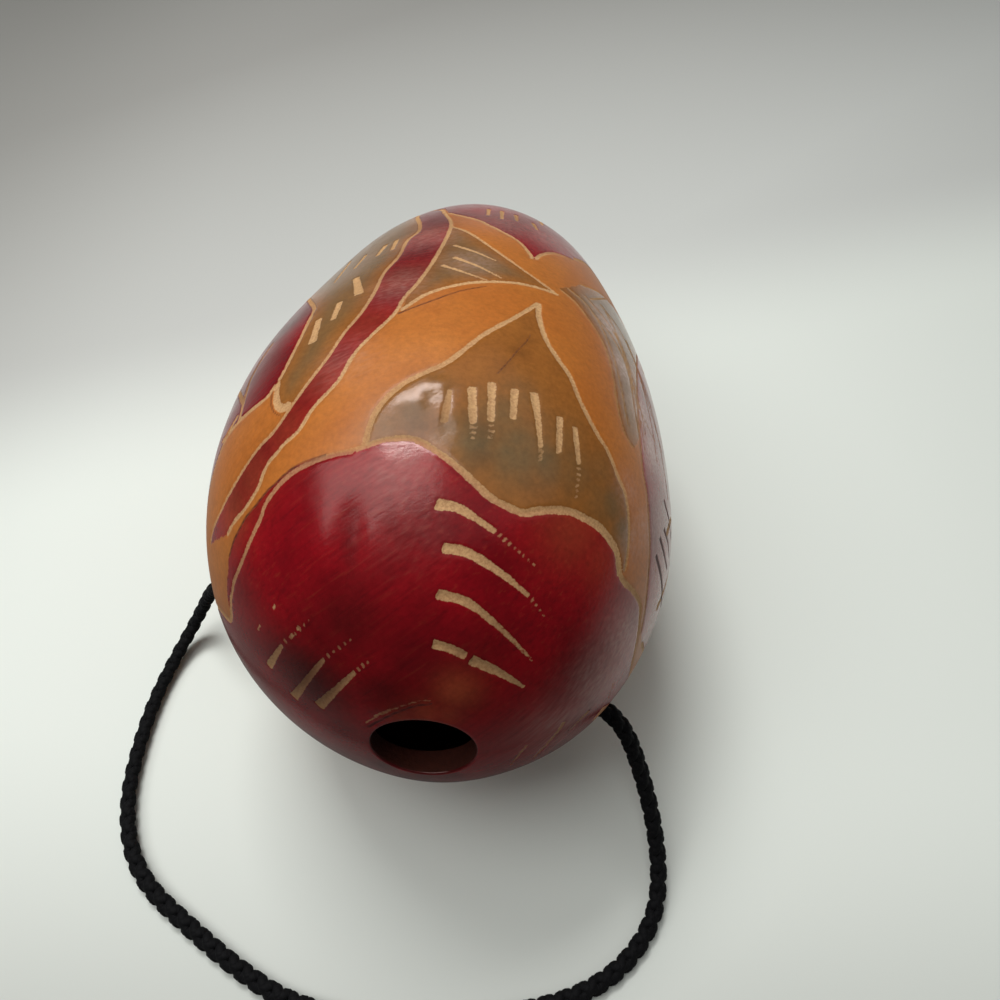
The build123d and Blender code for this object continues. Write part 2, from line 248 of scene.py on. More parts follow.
# Short gouge strokes: where they were read, widths at start and end, their points,
# and the place that a run of small chatter marks carries on to
STROKES = (
    (PICTURE, 2.4, 1.2, ((436, 504), (460, 509), (496, 532)), (536, 567)),
    (PICTURE, 2.4, 1.0, ((443, 548), (468, 553), (502, 574), (529, 596)), (546, 618)),
    (PICTURE, 2.3, 0.5, ((437, 594), (468, 603), (502, 630), (533, 661)), None),
    (PICTURE, 2.3, 1.9, ((433, 644), (448, 648), (466, 656)), None),
    (PICTURE, 2.6, 0.9, ((471, 660), (498, 672), (524, 687)), None),
    (PICTURE, 2.1, 1.0, ((269, 666), (282, 645)), (311, 619)),
    (PICTURE, 2.3, 1.0, ((294, 697), (311, 675), (324, 659)), (353, 638)),
    (PICTURE, 2.5, 1.1, ((319, 706), (338, 688), (355, 672)), (370, 661)),
    (PICTURE, 0.7, 0.7, ((273, 609), (275, 605)), None),
    (PICTURE, 0.7, 0.7, ((258, 630), (260, 626)), None),
    (PICTURE, 0.9, 0.9, ((291, 638), (293, 634)), None),
    (PICTURE, 0.9, 0.9, ((297, 630), (299, 626)), None),
    (PICTURE, 2.0, 1.8, ((472, 387), (473, 424)), (473, 440)),
    (PICTURE, 2.0, 1.7, ((492, 382), (491, 421)), (490, 440)),
    (PICTURE, 1.9, 1.5, ((515, 389), (513, 418)), None),
    (PICTURE, 2.1, 1.2, ((534, 393), (538, 418), (541, 448)), (540, 462)),
    (PICTURE, 1.8, 1.4, ((560, 417), (559, 453)), None),
    (PICTURE, 1.7, 1.2, ((575, 427), (579, 464)), (576, 500)),
    (PICTURE, 1.6, 1.2, ((397, 240), (392, 250)), None),
    (PICTURE, 1.7, 1.2, ((386, 245), (377, 256)), None),
    (PICTURE, 1.2, 0.8, ((366, 255), (354, 269)), None),
    (PICTURE, 1.2, 0.8, ((351, 261), (334, 283)), None),
    (PICTURE, 2.0, 2.6, ((356, 278), (359, 294)), None),
    (PICTURE, 1.9, 1.6, ((340, 302), (333, 319)), None),
    (PICTURE, 1.8, 2.6, ((319, 319), (312, 343)), None),
    (PICTURE, 1.3, 0.7, ((454, 245), (476, 252), (497, 261)), None),
    (PICTURE, 1.4, 0.7, ((454, 257), (478, 266), (502, 278)), None),
    (PICTURE, 1.3, 0.7, ((442, 265), (464, 272), (487, 280)), None),
    (PICTURE, 1.5, 1.1, ((489, 209), (488, 215)), None),
    (PICTURE, 1.6, 1.1, ((502, 211), (502, 219)), None),
    (PICTURE, 1.6, 1.1, ((516, 215), (517, 221)), None),
    (PICTURE, 1.6, 1.1, ((533, 223), (537, 230)), None),
    (PICTURE, 1.5, 1.5, ((239, 392), (243, 404)), None),
    (PICTURE, 1.0, 0.6, ((615, 332), (626, 362), (640, 409), (656, 444)), None),
    (SHELL, 2.6, 1.2, ((52, 150), (44, 148)), (38, 146)),
    (SHELL, 2.6, 1.2, ((53, 170), (44, 182)), (39, 188)),
    (SHELL, 2.6, 1.2, ((52, 190), (43, 196)), (38, 200)),
    (SHELL, 2.6, 1.2, ((52, 208), (42, 208)), None),
    (SHELL, 2.6, 1.2, ((53, 240), (44, 248)), (39, 252)),
    (SHELL, 2.6, 1.2, ((53, 258), (43, 262)), None),
    (SHELL, 2.4, 1.2, ((-4, -104), (2, -96), (6, -84)), None),
    (SHELL, 2.4, 1.2, ((-10, -104), (-2, -92), (4, -78)), None),
    (SHELL, 2.4, 1.2, ((-16, -100), (-8, -86), (0, -70)), None),
    (SHELL, 2.2, 1.2, ((-24, -96), (-22, -82)), (-20, -72)),
    (SHELL, 2.2, 1.2, ((-32, -92), (-36, -80)), None),
    (SHELL, 2.2, 1.4, ((22, -112), (14, -114)), None),
    (SHELL, 2.2, 1.4, ((22, -122), (12, -125)), None),
    (SHELL, 2.2, 1.4, ((16, -133), (6, -136)), None),
    (SHELL, 2.2, 1.4, ((4, -141), (-8, -143)), None),
    (SHELL, 2.4, 1.2, ((34, 82), (24, 84), (14, 88)), None),
    (SHELL, 2.4, 1.2, ((28, 90), (18, 93), (6, 98)), None),
    (SHELL, 2.4, 1.2, ((24, 104), (14, 105), (4, 108)), None),
    (SHELL, 2.2, 1.2, ((18, 72), (10, 76), (0, 84)), None),
    (SHELL, 2.0, 1.2, ((-12, 82), (-18, 88)), None),
    (SHELL, 2.2, 1.4, ((26, 160), (14, 158)), None),
    (SHELL, 2.2, 1.4, ((28, 169), (14, 168)), None),
    (SHELL, 2.2, 1.4, ((26, 178), (12, 177)), None),
    (SHELL, 2.2, 1.4, ((4, 160), (-10, 163)), None),
    (SHELL, 2.2, 1.4, ((4, 172), (-10, 172)), None),
    (SHELL, 2.2, 1.4, ((-88, 75), (-72, 77)), None),
    (SHELL, 2.2, 1.4, ((-88, 120), (-70, 119)), None),
    (SHELL, 2.2, 1.4, ((-88, 165), (-70, 166)), None),
    (SHELL, 2.2, 1.4, ((-88, 215), (-70, 216)), None),
    (SHELL, 2.2, 1.4, ((-88, 265), (-72, 266)), None),
    (SHELL, 2.0, 1.4, ((-106, 95), (-92, 96)), None),
    (SHELL, 2.0, 1.4, ((-106, 140), (-92, 141)), None),
    (SHELL, 2.0, 1.4, ((-106, 190), (-92, 190)), None),
    (SHELL, 2.0, 1.4, ((-106, 240), (-92, 240)), None),
    (SHELL, 2.0, 1.4, ((-124, 322), (-112, 322)), None),
    (SHELL, 2.0, 1.4, ((-106, 30), (-92, 28)), None),
)

# Shallow strokes that kept some of the dye, and a painted highlight along the ridge above the mouth
FAINT_STROKES_AND_HIGHLIGHT = (
    (PICTURE, 1.1, 1.9, ((450, 389), (444, 422)), None),
    (PICTURE, 1.3, 0.7, ((564, 722), (556, 734), (533, 759)), None),
    (PICTURE, 1.3, 0.7, ((589, 711), (570, 730)), None),
    (PICTURE, 1.0, 0.5, ((527, 745), (510, 766)), None),
    (PICTURE, 1.0, 0.6, ((604, 707), (598, 716)), None),
    (PICTURE, 0.8, 0.5, ((615, 680), (608, 699)), None),
    # Painted highlight: a pale line along the crest of the ridge above the mouth
    (PICTURE, 0.5, 0.4, ((365, 723), (378, 716), (397, 708), (416, 702), (434, 700)), None),
    (PICTURE, 1.1, 0.8, ((375, 717), (391, 710)), None),
    (PICTURE, 0.8, 0.5, ((590, 299), (606, 299), (609, 303)), None),
    (PICTURE, 1.0, 0.8, ((568, 288), (586, 304), (602, 328), (614, 358), (622, 392), (628, 425)), None),
    (PICTURE, 1.2, 0.9, ((592, 312), (610, 334), (622, 355), (630, 380), (635, 410), (640, 440)), None),
    (PICTURE, 1.0, 0.7, ((585, 296), (604, 318), (620, 344), (631, 372), (639, 402), (646, 436)), None),
    (PICTURE, 1.0, 0.7, ((600, 304), (618, 328), (633, 358), (644, 392), (652, 428), (657, 462)), None),
    (PICTURE, 1.1, 0.8, ((626, 340), (640, 376), (652, 416), (662, 452)), None),
    (PICTURE, 1.1, 0.8, ((630, 350), (645, 388), (656, 428), (664, 470), (668, 500)), None),
    (PICTURE, 1.0, 0.7, ((606, 312), (622, 346), (632, 380), (640, 420), (646, 455)), None),
    (PICTURE, 0.5, 0.3, ((641, 420), (648, 450), (654, 490)), None),
    (PICTURE, 0.5, 0.3, ((655, 440), (662, 480), (666, 520)), None),
    (PICTURE, 0.5, 0.3, ((655, 560), (656, 590), (650, 625)), None),
)

# Cuts that stayed dark because dye ran into them, the thin dark lines that the carver drew first, and
# painted shadow lines under the ridge above the mouth, beside the hook and beside the cuts on the right
# flank
DARK_CUTS_AND_SHADOWS = (
    (PICTURE, 0.6, 0.5, FLOWER_DYE_LEFT[3:], None),
    # Painted shadow under the ridge above the mouth
    (PICTURE, 0.7, 0.5, ((368, 727), (381, 720), (398, 712), (416, 706), (432, 704)), None),
    (PICTURE, 0.3, 0.3, ((531, 334), (526, 342), (518, 350), (509, 361), (497, 374)), None),
    (PICTURE, 0.6, 0.4, ((397, 314), (412, 308), (431, 301), (460, 291), (487, 286)), None),
    # Painted shadow beside the hook
    (PICTURE, 0.6, 0.4, ((272, 391), (271, 403), (274, 412), (281, 416)), None),
    # Painted shadow lines beside the cuts on the right flank
    (PICTURE, 1.5, 0.9, ((664, 500), (669, 520), (671, 539)), None),
    (PICTURE, 1.4, 0.9, ((664, 529), (668, 543), (669, 557)), None),
    (PICTURE, 1.5, 0.9, ((660, 538), (664, 553), (667, 569)), None),
    (PICTURE, 1.5, 0.9, ((656, 555), (661, 576), (662, 595), (659, 618)), None),
)

# Closed outlines of the dyed fields, each a chain of the lines above
CRIMSON_FIELDS = (
    ((PICTURE, FLOWER_DYE_LEFT), (PICTURE, FLOWER_EDGE_RIGHT), (PICTURE, FLOWER_SIDE),
     (SHELL, FLOWER_UNDER)),
    ((PICTURE, STEM_LEFT), (PICTURE, STEM_RIGHT[::-1]), (SHELL, STEM_TOP_RIGHT),
     (SHELL, STEM_TOP_LEFT[::-1])),
    ((PICTURE, SIDE_LEAF_LINE), (PICTURE, PETAL_LOWER), (SHELL, LEFT_FLOWER)),
    ((PICTURE, RIGHT_FLOWER_LINE), (SHELL, RIGHT_FLOWER)),
    ((SHELL, UNDER_STEM_LEFT), (SHELL, UNDER_STEM_RIGHT[::-1])),
    ((SHELL, RIGHT_STEM_LEFT), (SHELL, RIGHT_STEM_RIGHT[::-1])),
)
FAR_FLOWER = ((PICTURE, FAR_FLOWER_NEAR), (PICTURE, FAR_FLOWER_SIDE), (SHELL, FAR_FLOWER_RING))
MAIN_LEAF = (((PICTURE, LEAF_LEFT[::-1]), (PICTURE, LEAF_RIGHT), (PICTURE, FLOWER_EDGE_RIGHT[::-1])),)
OTHER_LEAVES = (
    ((PICTURE, STEM_LEFT[1:11]), (PICTURE, SIDE_LEAF_HOOK[::-1]), (PICTURE, SIDE_LEAF_LINE[::-1]),
     (SHELL, SIDE_LEAF_TOP)),
    ((PICTURE, SMALL_LEAF_UPPER), (PICTURE, SMALL_LEAF_LOWER[::-1])),
    ((PICTURE, RIGHT_LEAF_LINE), (PICTURE, RIGHT_FLOWER_TOP[::-1]), (SHELL, RIGHT_LEAF_TOP)),
    ((SHELL, LEFT_LEAF),),
    ((SHELL, UNDER_LEAF),),
)

# Natural unevenness of the shell: picture place, rise and spread in millimetres
SWELLS = (
    ((560, 240), 1.3, 26), ((660, 460), -1.4, 30), ((570, 740), 1.3, 26), ((445, 780), 0.8, 18),
    ((300, 715), -1.3, 28), ((250, 370), 1.6, 28), ((370, 250), -1.0, 26), ((404, 398), 0.4, 6),
    ((428, 384), 0.45, 6), ((400, 434), -0.5, 5), ((426, 436), -0.5, 5), ((437, 374), -0.16, 1.6),
    ((444, 384), 0.16, 1.8), ((452, 392), -0.14, 1.6), ((430, 398), -0.16, 1.8),
    ((418, 404), 0.14, 2.0), ((456, 418), 0.2, 2.2), ((447, 428), -0.16, 1.8), ((440, 414), 0.14, 1.8),
    ((405, 414), -0.12, 2.0), ((366, 446), -0.3, 5), ((456, 402), 0.35, 4), ((352, 510), -0.4, 4),
    ((351, 530), -0.5, 4), ((350, 550), -0.5, 4), ((351, 570), -0.5, 4), ((353, 592), -0.4, 4),
    ((384, 713), 0.3, 3), ((404, 705), 0.25, 3),
)

# Soft dabs of dye, scuffed wax, painted shade and painted sheen over the fields: picture place, spread in
# millimetres and strength
# Dark dabs: darker dye on the stems, the left flower and the leaf's midrib, and painted shade over the
# crimson towards the mouth and the lower left, in the creases of the flower and the leaf, and under the
# mouth's lower lip
SHADE_AND_DARK_DYE_DABS = (
    ((528, 340), 2.2, 0.2), ((518, 351), 2.4, 0.28), ((507, 364), 2.2, 0.2), ((480, 457), 3.0, 0.22),
    ((482, 431), 4.0, 0.2), ((352, 515), 2.2, 0.3), ((351, 530), 2.2, 0.4), ((350, 545), 2.4, 0.45),
    ((350, 560), 2.4, 0.45), ((351, 575), 2.2, 0.45), ((353, 590), 2.2, 0.4), ((354, 604), 2.0, 0.3),
    ((560, 480), 9.0, 0.1), ((385, 692), 10.0, 0.68), ((310, 680), 14.0, 0.85), ((500, 735), 12.0, 0.4),
    ((400, 630), 9.0, 0.2), ((340, 725), 10.0, 0.5), ((470, 715), 9.0, 0.3), ((425, 775), 8.0, 0.5),
    ((255, 375), 12.0, 0.6), ((285, 330), 10.0, 0.6), ((240, 590), 10.0, 0.35), ((250, 640), 12.0, 0.4),
    ((432, 225), 10.0, 0.45), ((418, 250), 10.0, 0.45), ((404, 272), 9.0, 0.42),
    ((388, 297), 8.0, 0.36), ((370, 320), 7.0, 0.25), ((340, 358), 4.0, 0.2), ((318, 385), 4.0, 0.25),
    ((304, 402), 4.0, 0.25), ((290, 418), 4.0, 0.25), ((278, 435), 4.0, 0.25), ((266, 450), 4.0, 0.3),
    ((255, 466), 4.0, 0.3), ((246, 482), 4.0, 0.3), ((236, 500), 4.0, 0.3), ((520, 220), 9.0, 0.35),
    ((384, 766), 4.5, 0.7), ((403, 776), 4.0, 0.6), ((425, 780), 4.0, 0.6), ((450, 776), 4.0, 0.5),
    ((350, 622), 12.0, 0.7), ((325, 640), 12.0, 0.6), ((400, 660), 9.0, 0.5), ((420, 605), 8.0, 0.32),
    ((480, 645), 9.0, 0.4), ((422, 427), 4.5, 0.25),
)
OLIVE_DABS = (
    ((478, 440), 8.0, 0.95), ((515, 450), 9.0, 0.95), ((545, 460), 7.0, 0.85), ((500, 420), 8.0, 0.8),
    ((452, 430), 6.0, 0.7), ((572, 470), 7.0, 0.6), ((540, 420), 6.0, 0.4), ((612, 505), 5.0, 0.7),
    ((622, 530), 4.0, 0.8), ((600, 470), 5.0, 0.4), ((412, 412), 7.0, 0.7), ((385, 425), 5.0, 0.6),
    ((430, 392), 6.0, 0.6), ((520, 400), 7.0, 0.45), ((560, 440), 7.0, 0.5), ((600, 500), 6.0, 0.45),
)
THIN_DABS = (
    ((433, 232), 9.0, 0.4), ((402, 278), 9.0, 0.4), ((365, 325), 9.0, 0.35), ((325, 380), 9.0, 0.35),
    ((285, 432), 9.0, 0.4), ((252, 476), 8.0, 0.5), ((232, 512), 8.0, 0.65), ((458, 691), 5.5, 0.8),
    ((575, 530), 9.0, 0.45), ((600, 560), 7.0, 0.35), ((385, 728), 4.0, 0.6), ((425, 713), 5.0, 0.55),
    ((400, 716), 3.5, 0.5), ((448, 714), 4.0, 0.5),
)
# Pale dabs: scuffed wax, and painted sheen where the wax mirrors the pale floor and lamps: along the right
# flank, on the stem, at the top, over the crimson below the flower's edge and at its lower right
SCUFF_AND_SHEEN_DABS = (
    ((430, 238), 10.0, 0.28), ((400, 285), 9.0, 0.22), ((345, 360), 8.0, 0.18), ((500, 222), 14.0, 0.3),
    ((545, 238), 12.0, 0.3), ((612, 330), 7.0, 1.0), ((626, 370), 7.0, 0.95), ((640, 410), 7.0, 0.9),
    ((650, 450), 7.0, 0.75), ((632, 540), 5.0, 0.3), ((628, 490), 5.0, 0.25), ((645, 530), 6.0, 0.35),
    ((660, 520), 7.0, 0.35), ((660, 580), 8.0, 0.35), ((652, 625), 8.0, 0.35), ((600, 312), 6.0, 0.5),
    ((560, 725), 10.0, 0.3), ((600, 680), 10.0, 0.35), ((625, 640), 9.0, 0.4), ((395, 470), 8.0, 0.12),
    ((400, 515), 10.0, 0.08), ((470, 262), 8.0, 0.3),
)


class GourdShellSettings(bpy.types.PropertyGroup):
    """Sizes and dyes of the shell"""
    belly_diameter: FloatProperty(
        name="Belly diameter", description="Widest width of the shell", default=0.135, unit="LENGTH")
    mouth_end_length: FloatProperty(
        name="Mouth end", description="From the belly's centre to the blunt end",
        default=0.0755, unit="LENGTH")
    stem_end_length: FloatProperty(
        name="Stem end", description="From the belly's centre to the narrow end",
        default=0.150, unit="LENGTH")
    stem_end_power: FloatProperty(
        name="Stem end fullness", description="2 is an ellipse, less is more pointed", default=1.85)
    wall: FloatProperty(
        name="Wall", description="Thickness of the dried shell", default=0.0055, unit="LENGTH")
    axis_lift: FloatProperty(
        name="Axis lift", description="How far the mouth end is lifted",
        default=math.radians(5.5), unit="ROTATION")
    flat_depth: FloatProperty(
        name="Rest flat", description="Depth of the flat spot it rests on", default=0.0012, unit="LENGTH")
    scar_diameter: FloatProperty(
        name="Stem scar", description="Width of the dry scar of the stem", default=0.010, unit="LENGTH")
    cord_hole: FloatProperty(
        name="Cord hole", description="Diameter of the two cord holes", default=0.0063, unit="LENGTH")
    cut_depth: FloatProperty(
        name="Cut depth", description="Depth of the carved lines", default=0.00022, unit="LENGTH")
    rings: IntProperty(name="Rings", description="Rings of faces along the shell", default=400)
    columns: IntProperty(name="Columns", description="Columns of faces round the shell", default=660)
    amber: FloatVectorProperty(
        name="Amber", description="Ground dye", subtype="COLOR", default=colour("ac5d22"))
    crimson: FloatVectorProperty(
        name="Crimson", description="Dye of the flowers and stems", subtype="COLOR",
        default=colour("980b18"))
    olive: FloatVectorProperty(
        name="Olive", description="Dye of the leaves", subtype="COLOR", default=colour("574c31"))
    flesh: FloatVectorProperty(
        name="Flesh", description="Pale shell that the cuts lay bare", subtype="COLOR",
        default=colour("cea472"))


class GourdCordSettings(bpy.types.PropertyGroup):
    """Sizes and colour of the cord and its knots"""
    diameter: FloatProperty(
        name="Cord", description="Thickness over the braid", default=0.0055, unit="LENGTH")
    pitch: FloatProperty(
        name="Pitch", description="Length of one full turn of a strand", default=0.0105, unit="LENGTH")
    strands: IntProperty(name="Strands", description="Strands that run each way round", default=2)
    knot_diameter: FloatProperty(
        name="Knot", description="Width of a stopper knot", default=0.013, unit="LENGTH")
    knot_length: FloatProperty(
        name="Knot length", description="Length of a stopper knot", default=0.011, unit="LENGTH")
    knot_tail: FloatProperty(
        name="Knot tail", description="Cord left past a knot", default=0.009, unit="LENGTH")
    black: FloatVectorProperty(
        name="Cord black", description="Colour of the cord's yarn", subtype="COLOR",
        default=colour("050506"))


class GourdStudioSettings(bpy.types.PropertyGroup):
    """The camera, the lamps and the floor"""
    camera_place: FloatVectorProperty(
        name="Camera", description="Where the camera stands", subtype="TRANSLATION",
        default=(0.0236, -0.1383, 0.2505))
    camera_dip: FloatProperty(
        name="Camera dip", description="How far down the camera looks",
        default=math.radians(55), unit="ROTATION")
    camera_heading: FloatProperty(
        name="Camera heading", description="Turn to the left of the shell's length",
        default=math.radians(3.56), unit="ROTATION")
    lens: FloatProperty(name="Lens", description="Focal length", default=25.92, unit="CAMERA")
    sensor: FloatProperty(name="Sensor", description="Width of the sensor in millimetres", default=36.0)
    key_power: FloatProperty(
        name="Key light", description="Power of the soft lamp behind the gourd", default=4.4, unit="POWER")
    top_power: FloatProperty(
        name="Top light", description="Power of the soft lamp above", default=4.0, unit="POWER")
    ceiling_power: FloatProperty(
        name="Ceiling", description="Power of the wide light overhead", default=6.8, unit="POWER")
    floor: FloatVectorProperty(
        name="Floor", description="Pale paper of the floor", subtype="COLOR", default=colour("e9eee6"))
    # Painted shade: the greyer paper behind and its darker far end stand in for the light's falloff
    floor_far_shade: FloatVectorProperty(
        name="Floor behind", description="Greyer paper behind", subtype="COLOR", default=colour("d0d2cd"))
    floor_farthest: FloatVectorProperty(
        name="Floor far behind", description="Its far end, away from the light", subtype="COLOR",
        default=colour("a9a8a3"))
    floor_front: FloatVectorProperty(
        name="Floor in front", description="The floor's front end, which gets less light", subtype="COLOR",
        default=colour("8b8a85"))
    backdrop: FloatVectorProperty(
        name="Backdrop", description="Pale backdrop beyond the floor", subtype="COLOR",
        default=colour("f2f5f5"))


def add_node(owner, kind, inputs=None, **settings):
    """Adds a node to a material or a world. Inputs are values, or outputs to link to its sockets."""
    tree = owner.node_tree
    added = tree.nodes.new(kind)
    for name, value in settings.items():
        setattr(added, name, value)
    for socket, value in (inputs or {}).items():
        if isinstance(value, bpy.types.NodeSocket):
            tree.links.new(value, added.inputs[socket])
        else:
            added.inputs[socket].default_value = value
    return added


def new_material(name):
    """A node material with no nodes yet."""
    material = bpy.data.materials.new(name)
    material.use_nodes = True
    material.node_tree.nodes.clear()
    return material


def rgba(linear):
    """A colour with full cover."""
    return (*linear, 1.0)


def smooth(value):
    """Eases from 0 to 1."""
    value = np.clip(value, 0.0, 1.0)
    return value * value * (3 - 2 * value)


def unit(vectors):
    """The same directions at length one."""
    return vectors / np.linalg.norm(vectors, axis=-1, keepdims=True)


def add_object(name, vertices, faces, materials, material_of_face=None):
    """A smooth mesh object with its materials."""
    mesh = bpy.data.meshes.new(name)
    mesh.from_pydata(np.asarray(vertices).tolist(), [], faces)
    for material in materials:
        mesh.materials.append(material)
    if material_of_face is not None:
        mesh.polygons.foreach_set("material_index", np.asarray(material_of_face, dtype=np.int32))
    mesh.shade_smooth()
    mesh.update()
    piece = bpy.data.objects.new(name, mesh)
    bpy.context.scene.collection.objects.link(piece)
    return piece


def set_attribute(piece, name, values):
    """Stores a number at each vertex for a material to read."""
    attribute = piece.data.attributes.new(name, "FLOAT", "POINT")
    attribute.data.foreach_set("value", values.astype(np.float32))


def band_faces(rings, sides, first):
    """Faces between closed rings of vertices."""
    faces = []
    for ring in range(rings - 1):
        for side in range(sides):
            a = first + ring * sides + side
            b = first + ring * sides + (side + 1) % sides
            faces.append((a, b, b + sides, a + sides))
    return faces


def tube_faces(rings, sides, first):
    """Faces of a closed tube of rings of vertices, with both ends capped."""
    faces = band_faces(rings, sides, first)
    faces.append(tuple(range(first + sides - 1, first - 1, -1)))
    last = first + (rings - 1) * sides
    faces.append(tuple(range(last, last + sides)))
    return faces


def carried_frames(line):
    """Directions along a line, and two across it that turn as little as they can."""
    along = unit(np.gradient(line, axis=0))
    across = np.zeros_like(line)
    across[0] = unit(np.cross(along[0], (0.0, 0.0, 1.0)))
    for i in range(1, len(line)):
        carried = across[i - 1] - along[i] * (across[i - 1] @ along[i])
        across[i] = unit(carried)
    return along, across, np.cross(along, across)


def braid(line, diameter, pitch, strands):
    """Vertices, faces and yarn lengths of a round braid: strands both ways round over a core."""
    along, across, upward = carried_frames(line)
    run = np.concatenate([[0.0], np.cumsum(np.linalg.norm(np.diff(line, axis=0), axis=1))])
    mean_radius = 0.225 * diameter
    weave = 0.078 * diameter
    half_width = 0.275 * diameter
    half_thick = 0.215 * diameter
    core_radius = 0.22 * diameter
    thread_slant = 0.35
    sides = 10
    turn = np.arange(sides) / sides * 2 * np.pi
    vertices, faces, yarn = [], [], []
    for way in (1, -1):
        for strand in range(strands):
            angle = way * (2 * np.pi * run / pitch) + 2 * np.pi * (strand + (way < 0) * 0.5) / strands
            lift = way * np.cos(2 * np.pi * run / pitch * strands)
            outward = np.cos(angle)[:, None] * across + np.sin(angle)[:, None] * upward
            middle = line + (mean_radius + weave * lift)[:, None] * outward
            heading = unit(np.gradient(middle, axis=0))
            outward = unit(outward - (outward * heading).sum(1)[:, None] * heading)
            sideways = np.cross(heading, outward)
            ring = (middle[:, None] + half_width * np.cos(turn)[None, :, None] * sideways[:, None]
                    + half_thick * np.sin(turn)[None, :, None] * outward[:, None])
            faces += tube_faces(len(line), sides, len(vertices) * len(line) * sides)
            vertices.append(ring.reshape(-1, 3))
            yarn.append((run[:, None] / MM + thread_slant * way * np.sin(turn)[None, :]).reshape(-1))
    core = line[:, None] + core_radius * (
        np.cos(turn)[None, :, None] * across[:, None] + np.sin(turn)[None, :, None] * upward[:, None])
    faces += tube_faces(len(line), sides, len(vertices) * len(line) * sides)
    vertices.append(core.reshape(-1, 3))
    yarn.append(np.repeat(run / MM, sides))
    return np.concatenate(vertices), faces, np.concatenate(yarn)


def braided_cord_material(settings):
    """Braided black polyester yarn: matt, with a faint sheen and fine twisted threads along each strand."""
    found = bpy.data.materials.get("black_braided_polyester")
    if found:
        return found
    material = new_material("black_braided_polyester")
    yarn = add_node(material, "ShaderNodeAttribute", attribute_name="yarn")
    place = add_node(material, "ShaderNodeTexCoord")
    thread_spacing_mm = 0.5
    twist = add_node(material, "ShaderNodeMath", {
        0: yarn.outputs["Fac"], 1: 2 * math.pi / thread_spacing_mm}, operation="MULTIPLY")
    thread = add_node(material, "ShaderNodeMath", {0: twist.outputs[0]}, operation="SINE")
    dust_mm = 6.0
    dust = add_node(material, "ShaderNodeTexNoise", {
        "Vector": place.outputs["Object"], "Scale": 1000 / dust_mm, "Detail": 4.0})
    shade = add_node(material, "ShaderNodeMix", {
        0: dust.outputs["Fac"], 6: rgba(settings.black), 7: rgba(colour("0d0d0f"))}, data_type="RGBA")
    bump = add_node(material, "ShaderNodeBump", {
        "Strength": 0.35, "Distance": 0.0001, "Height": thread.outputs[0]})
    surface = add_node(material, "ShaderNodeBsdfPrincipled", {
        "Base Color": shade.outputs[2], "Roughness": 0.75, "Sheen Weight": 0.02, "Sheen Roughness": 0.5,
        "Specular IOR Level": 0.15, "Normal": bump.outputs["Normal"]})
    add_node(material, "ShaderNodeOutputMaterial", {"Surface": surface.outputs["BSDF"]})
    return material


def add_braid(name, line, settings, diameter):
    """A braided piece along a line."""
    vertices, faces, yarn = braid(line, diameter, settings.pitch, settings.strands)
    piece = add_object(name, vertices, faces, [braided_cord_material(settings)])
    set_attribute(piece, "yarn", yarn)
    return piece


def cord_line():
    """Points along the smooth curve that the cord's route steers."""
    curve = bpy.data.curves.new("cord_route", "CURVE")
    curve.dimensions = "3D"
    spline = curve.splines.new("NURBS")
    spline.points.add(len(CORD_POINTS) - 1)
    for point, place in zip(spline.points, CORD_POINTS):
        point.co = (*place, 1.0)
    spline.order_u = 3
    spline.use_endpoint_u = True
    spline.resolution_u = 32
    carrier = bpy.data.objects.new("cord_route", curve)
    bpy.context.scene.collection.objects.link(carrier)
    bpy.context.view_layer.update()
    mesh = bpy.data.meshes.new_from_object(carrier)
    line = np.array([vertex.co for vertex in mesh.vertices])
    bpy.data.objects.remove(carrier)
    bpy.data.curves.remove(curve)
    bpy.data.meshes.remove(mesh)
    return line


def knot_line(seat, inward, settings):
    """Points of a stopper knot: the cord winds round itself in a barrel, then its tail runs on."""
    turns, steps = 1.7, 220
    share = np.linspace(0.0, 1.0, steps)
    side = unit(np.cross(inward, (0.0, 0.0, 1.0)))
    other = np.cross(inward, side)
    cord = settings.diameter * KNOT_TIGHTNESS
    wound = smooth(share / 0.16) * (1 - smooth((share - 0.66) / 0.16))
    radius = wound * (settings.knot_diameter - cord) / 2
    angle = 2 * np.pi * turns * np.clip(share / 0.8, 0.0, 1.0)
    room = 1.3 * MM
    barrel = ((cord / 2 + room) * smooth(share / 0.12)
              + (settings.knot_length - cord) * smooth(share / 0.8))
    depth = barrel + (settings.knot_tail + cord / 2) * np.clip((share - 0.7) / 0.3, 0.0, 1.0)
    turned = np.cos(angle)[:, None] * side + np.sin(angle)[:, None] * other
    return seat + depth[:, None] * inward + radius[:, None] * turned


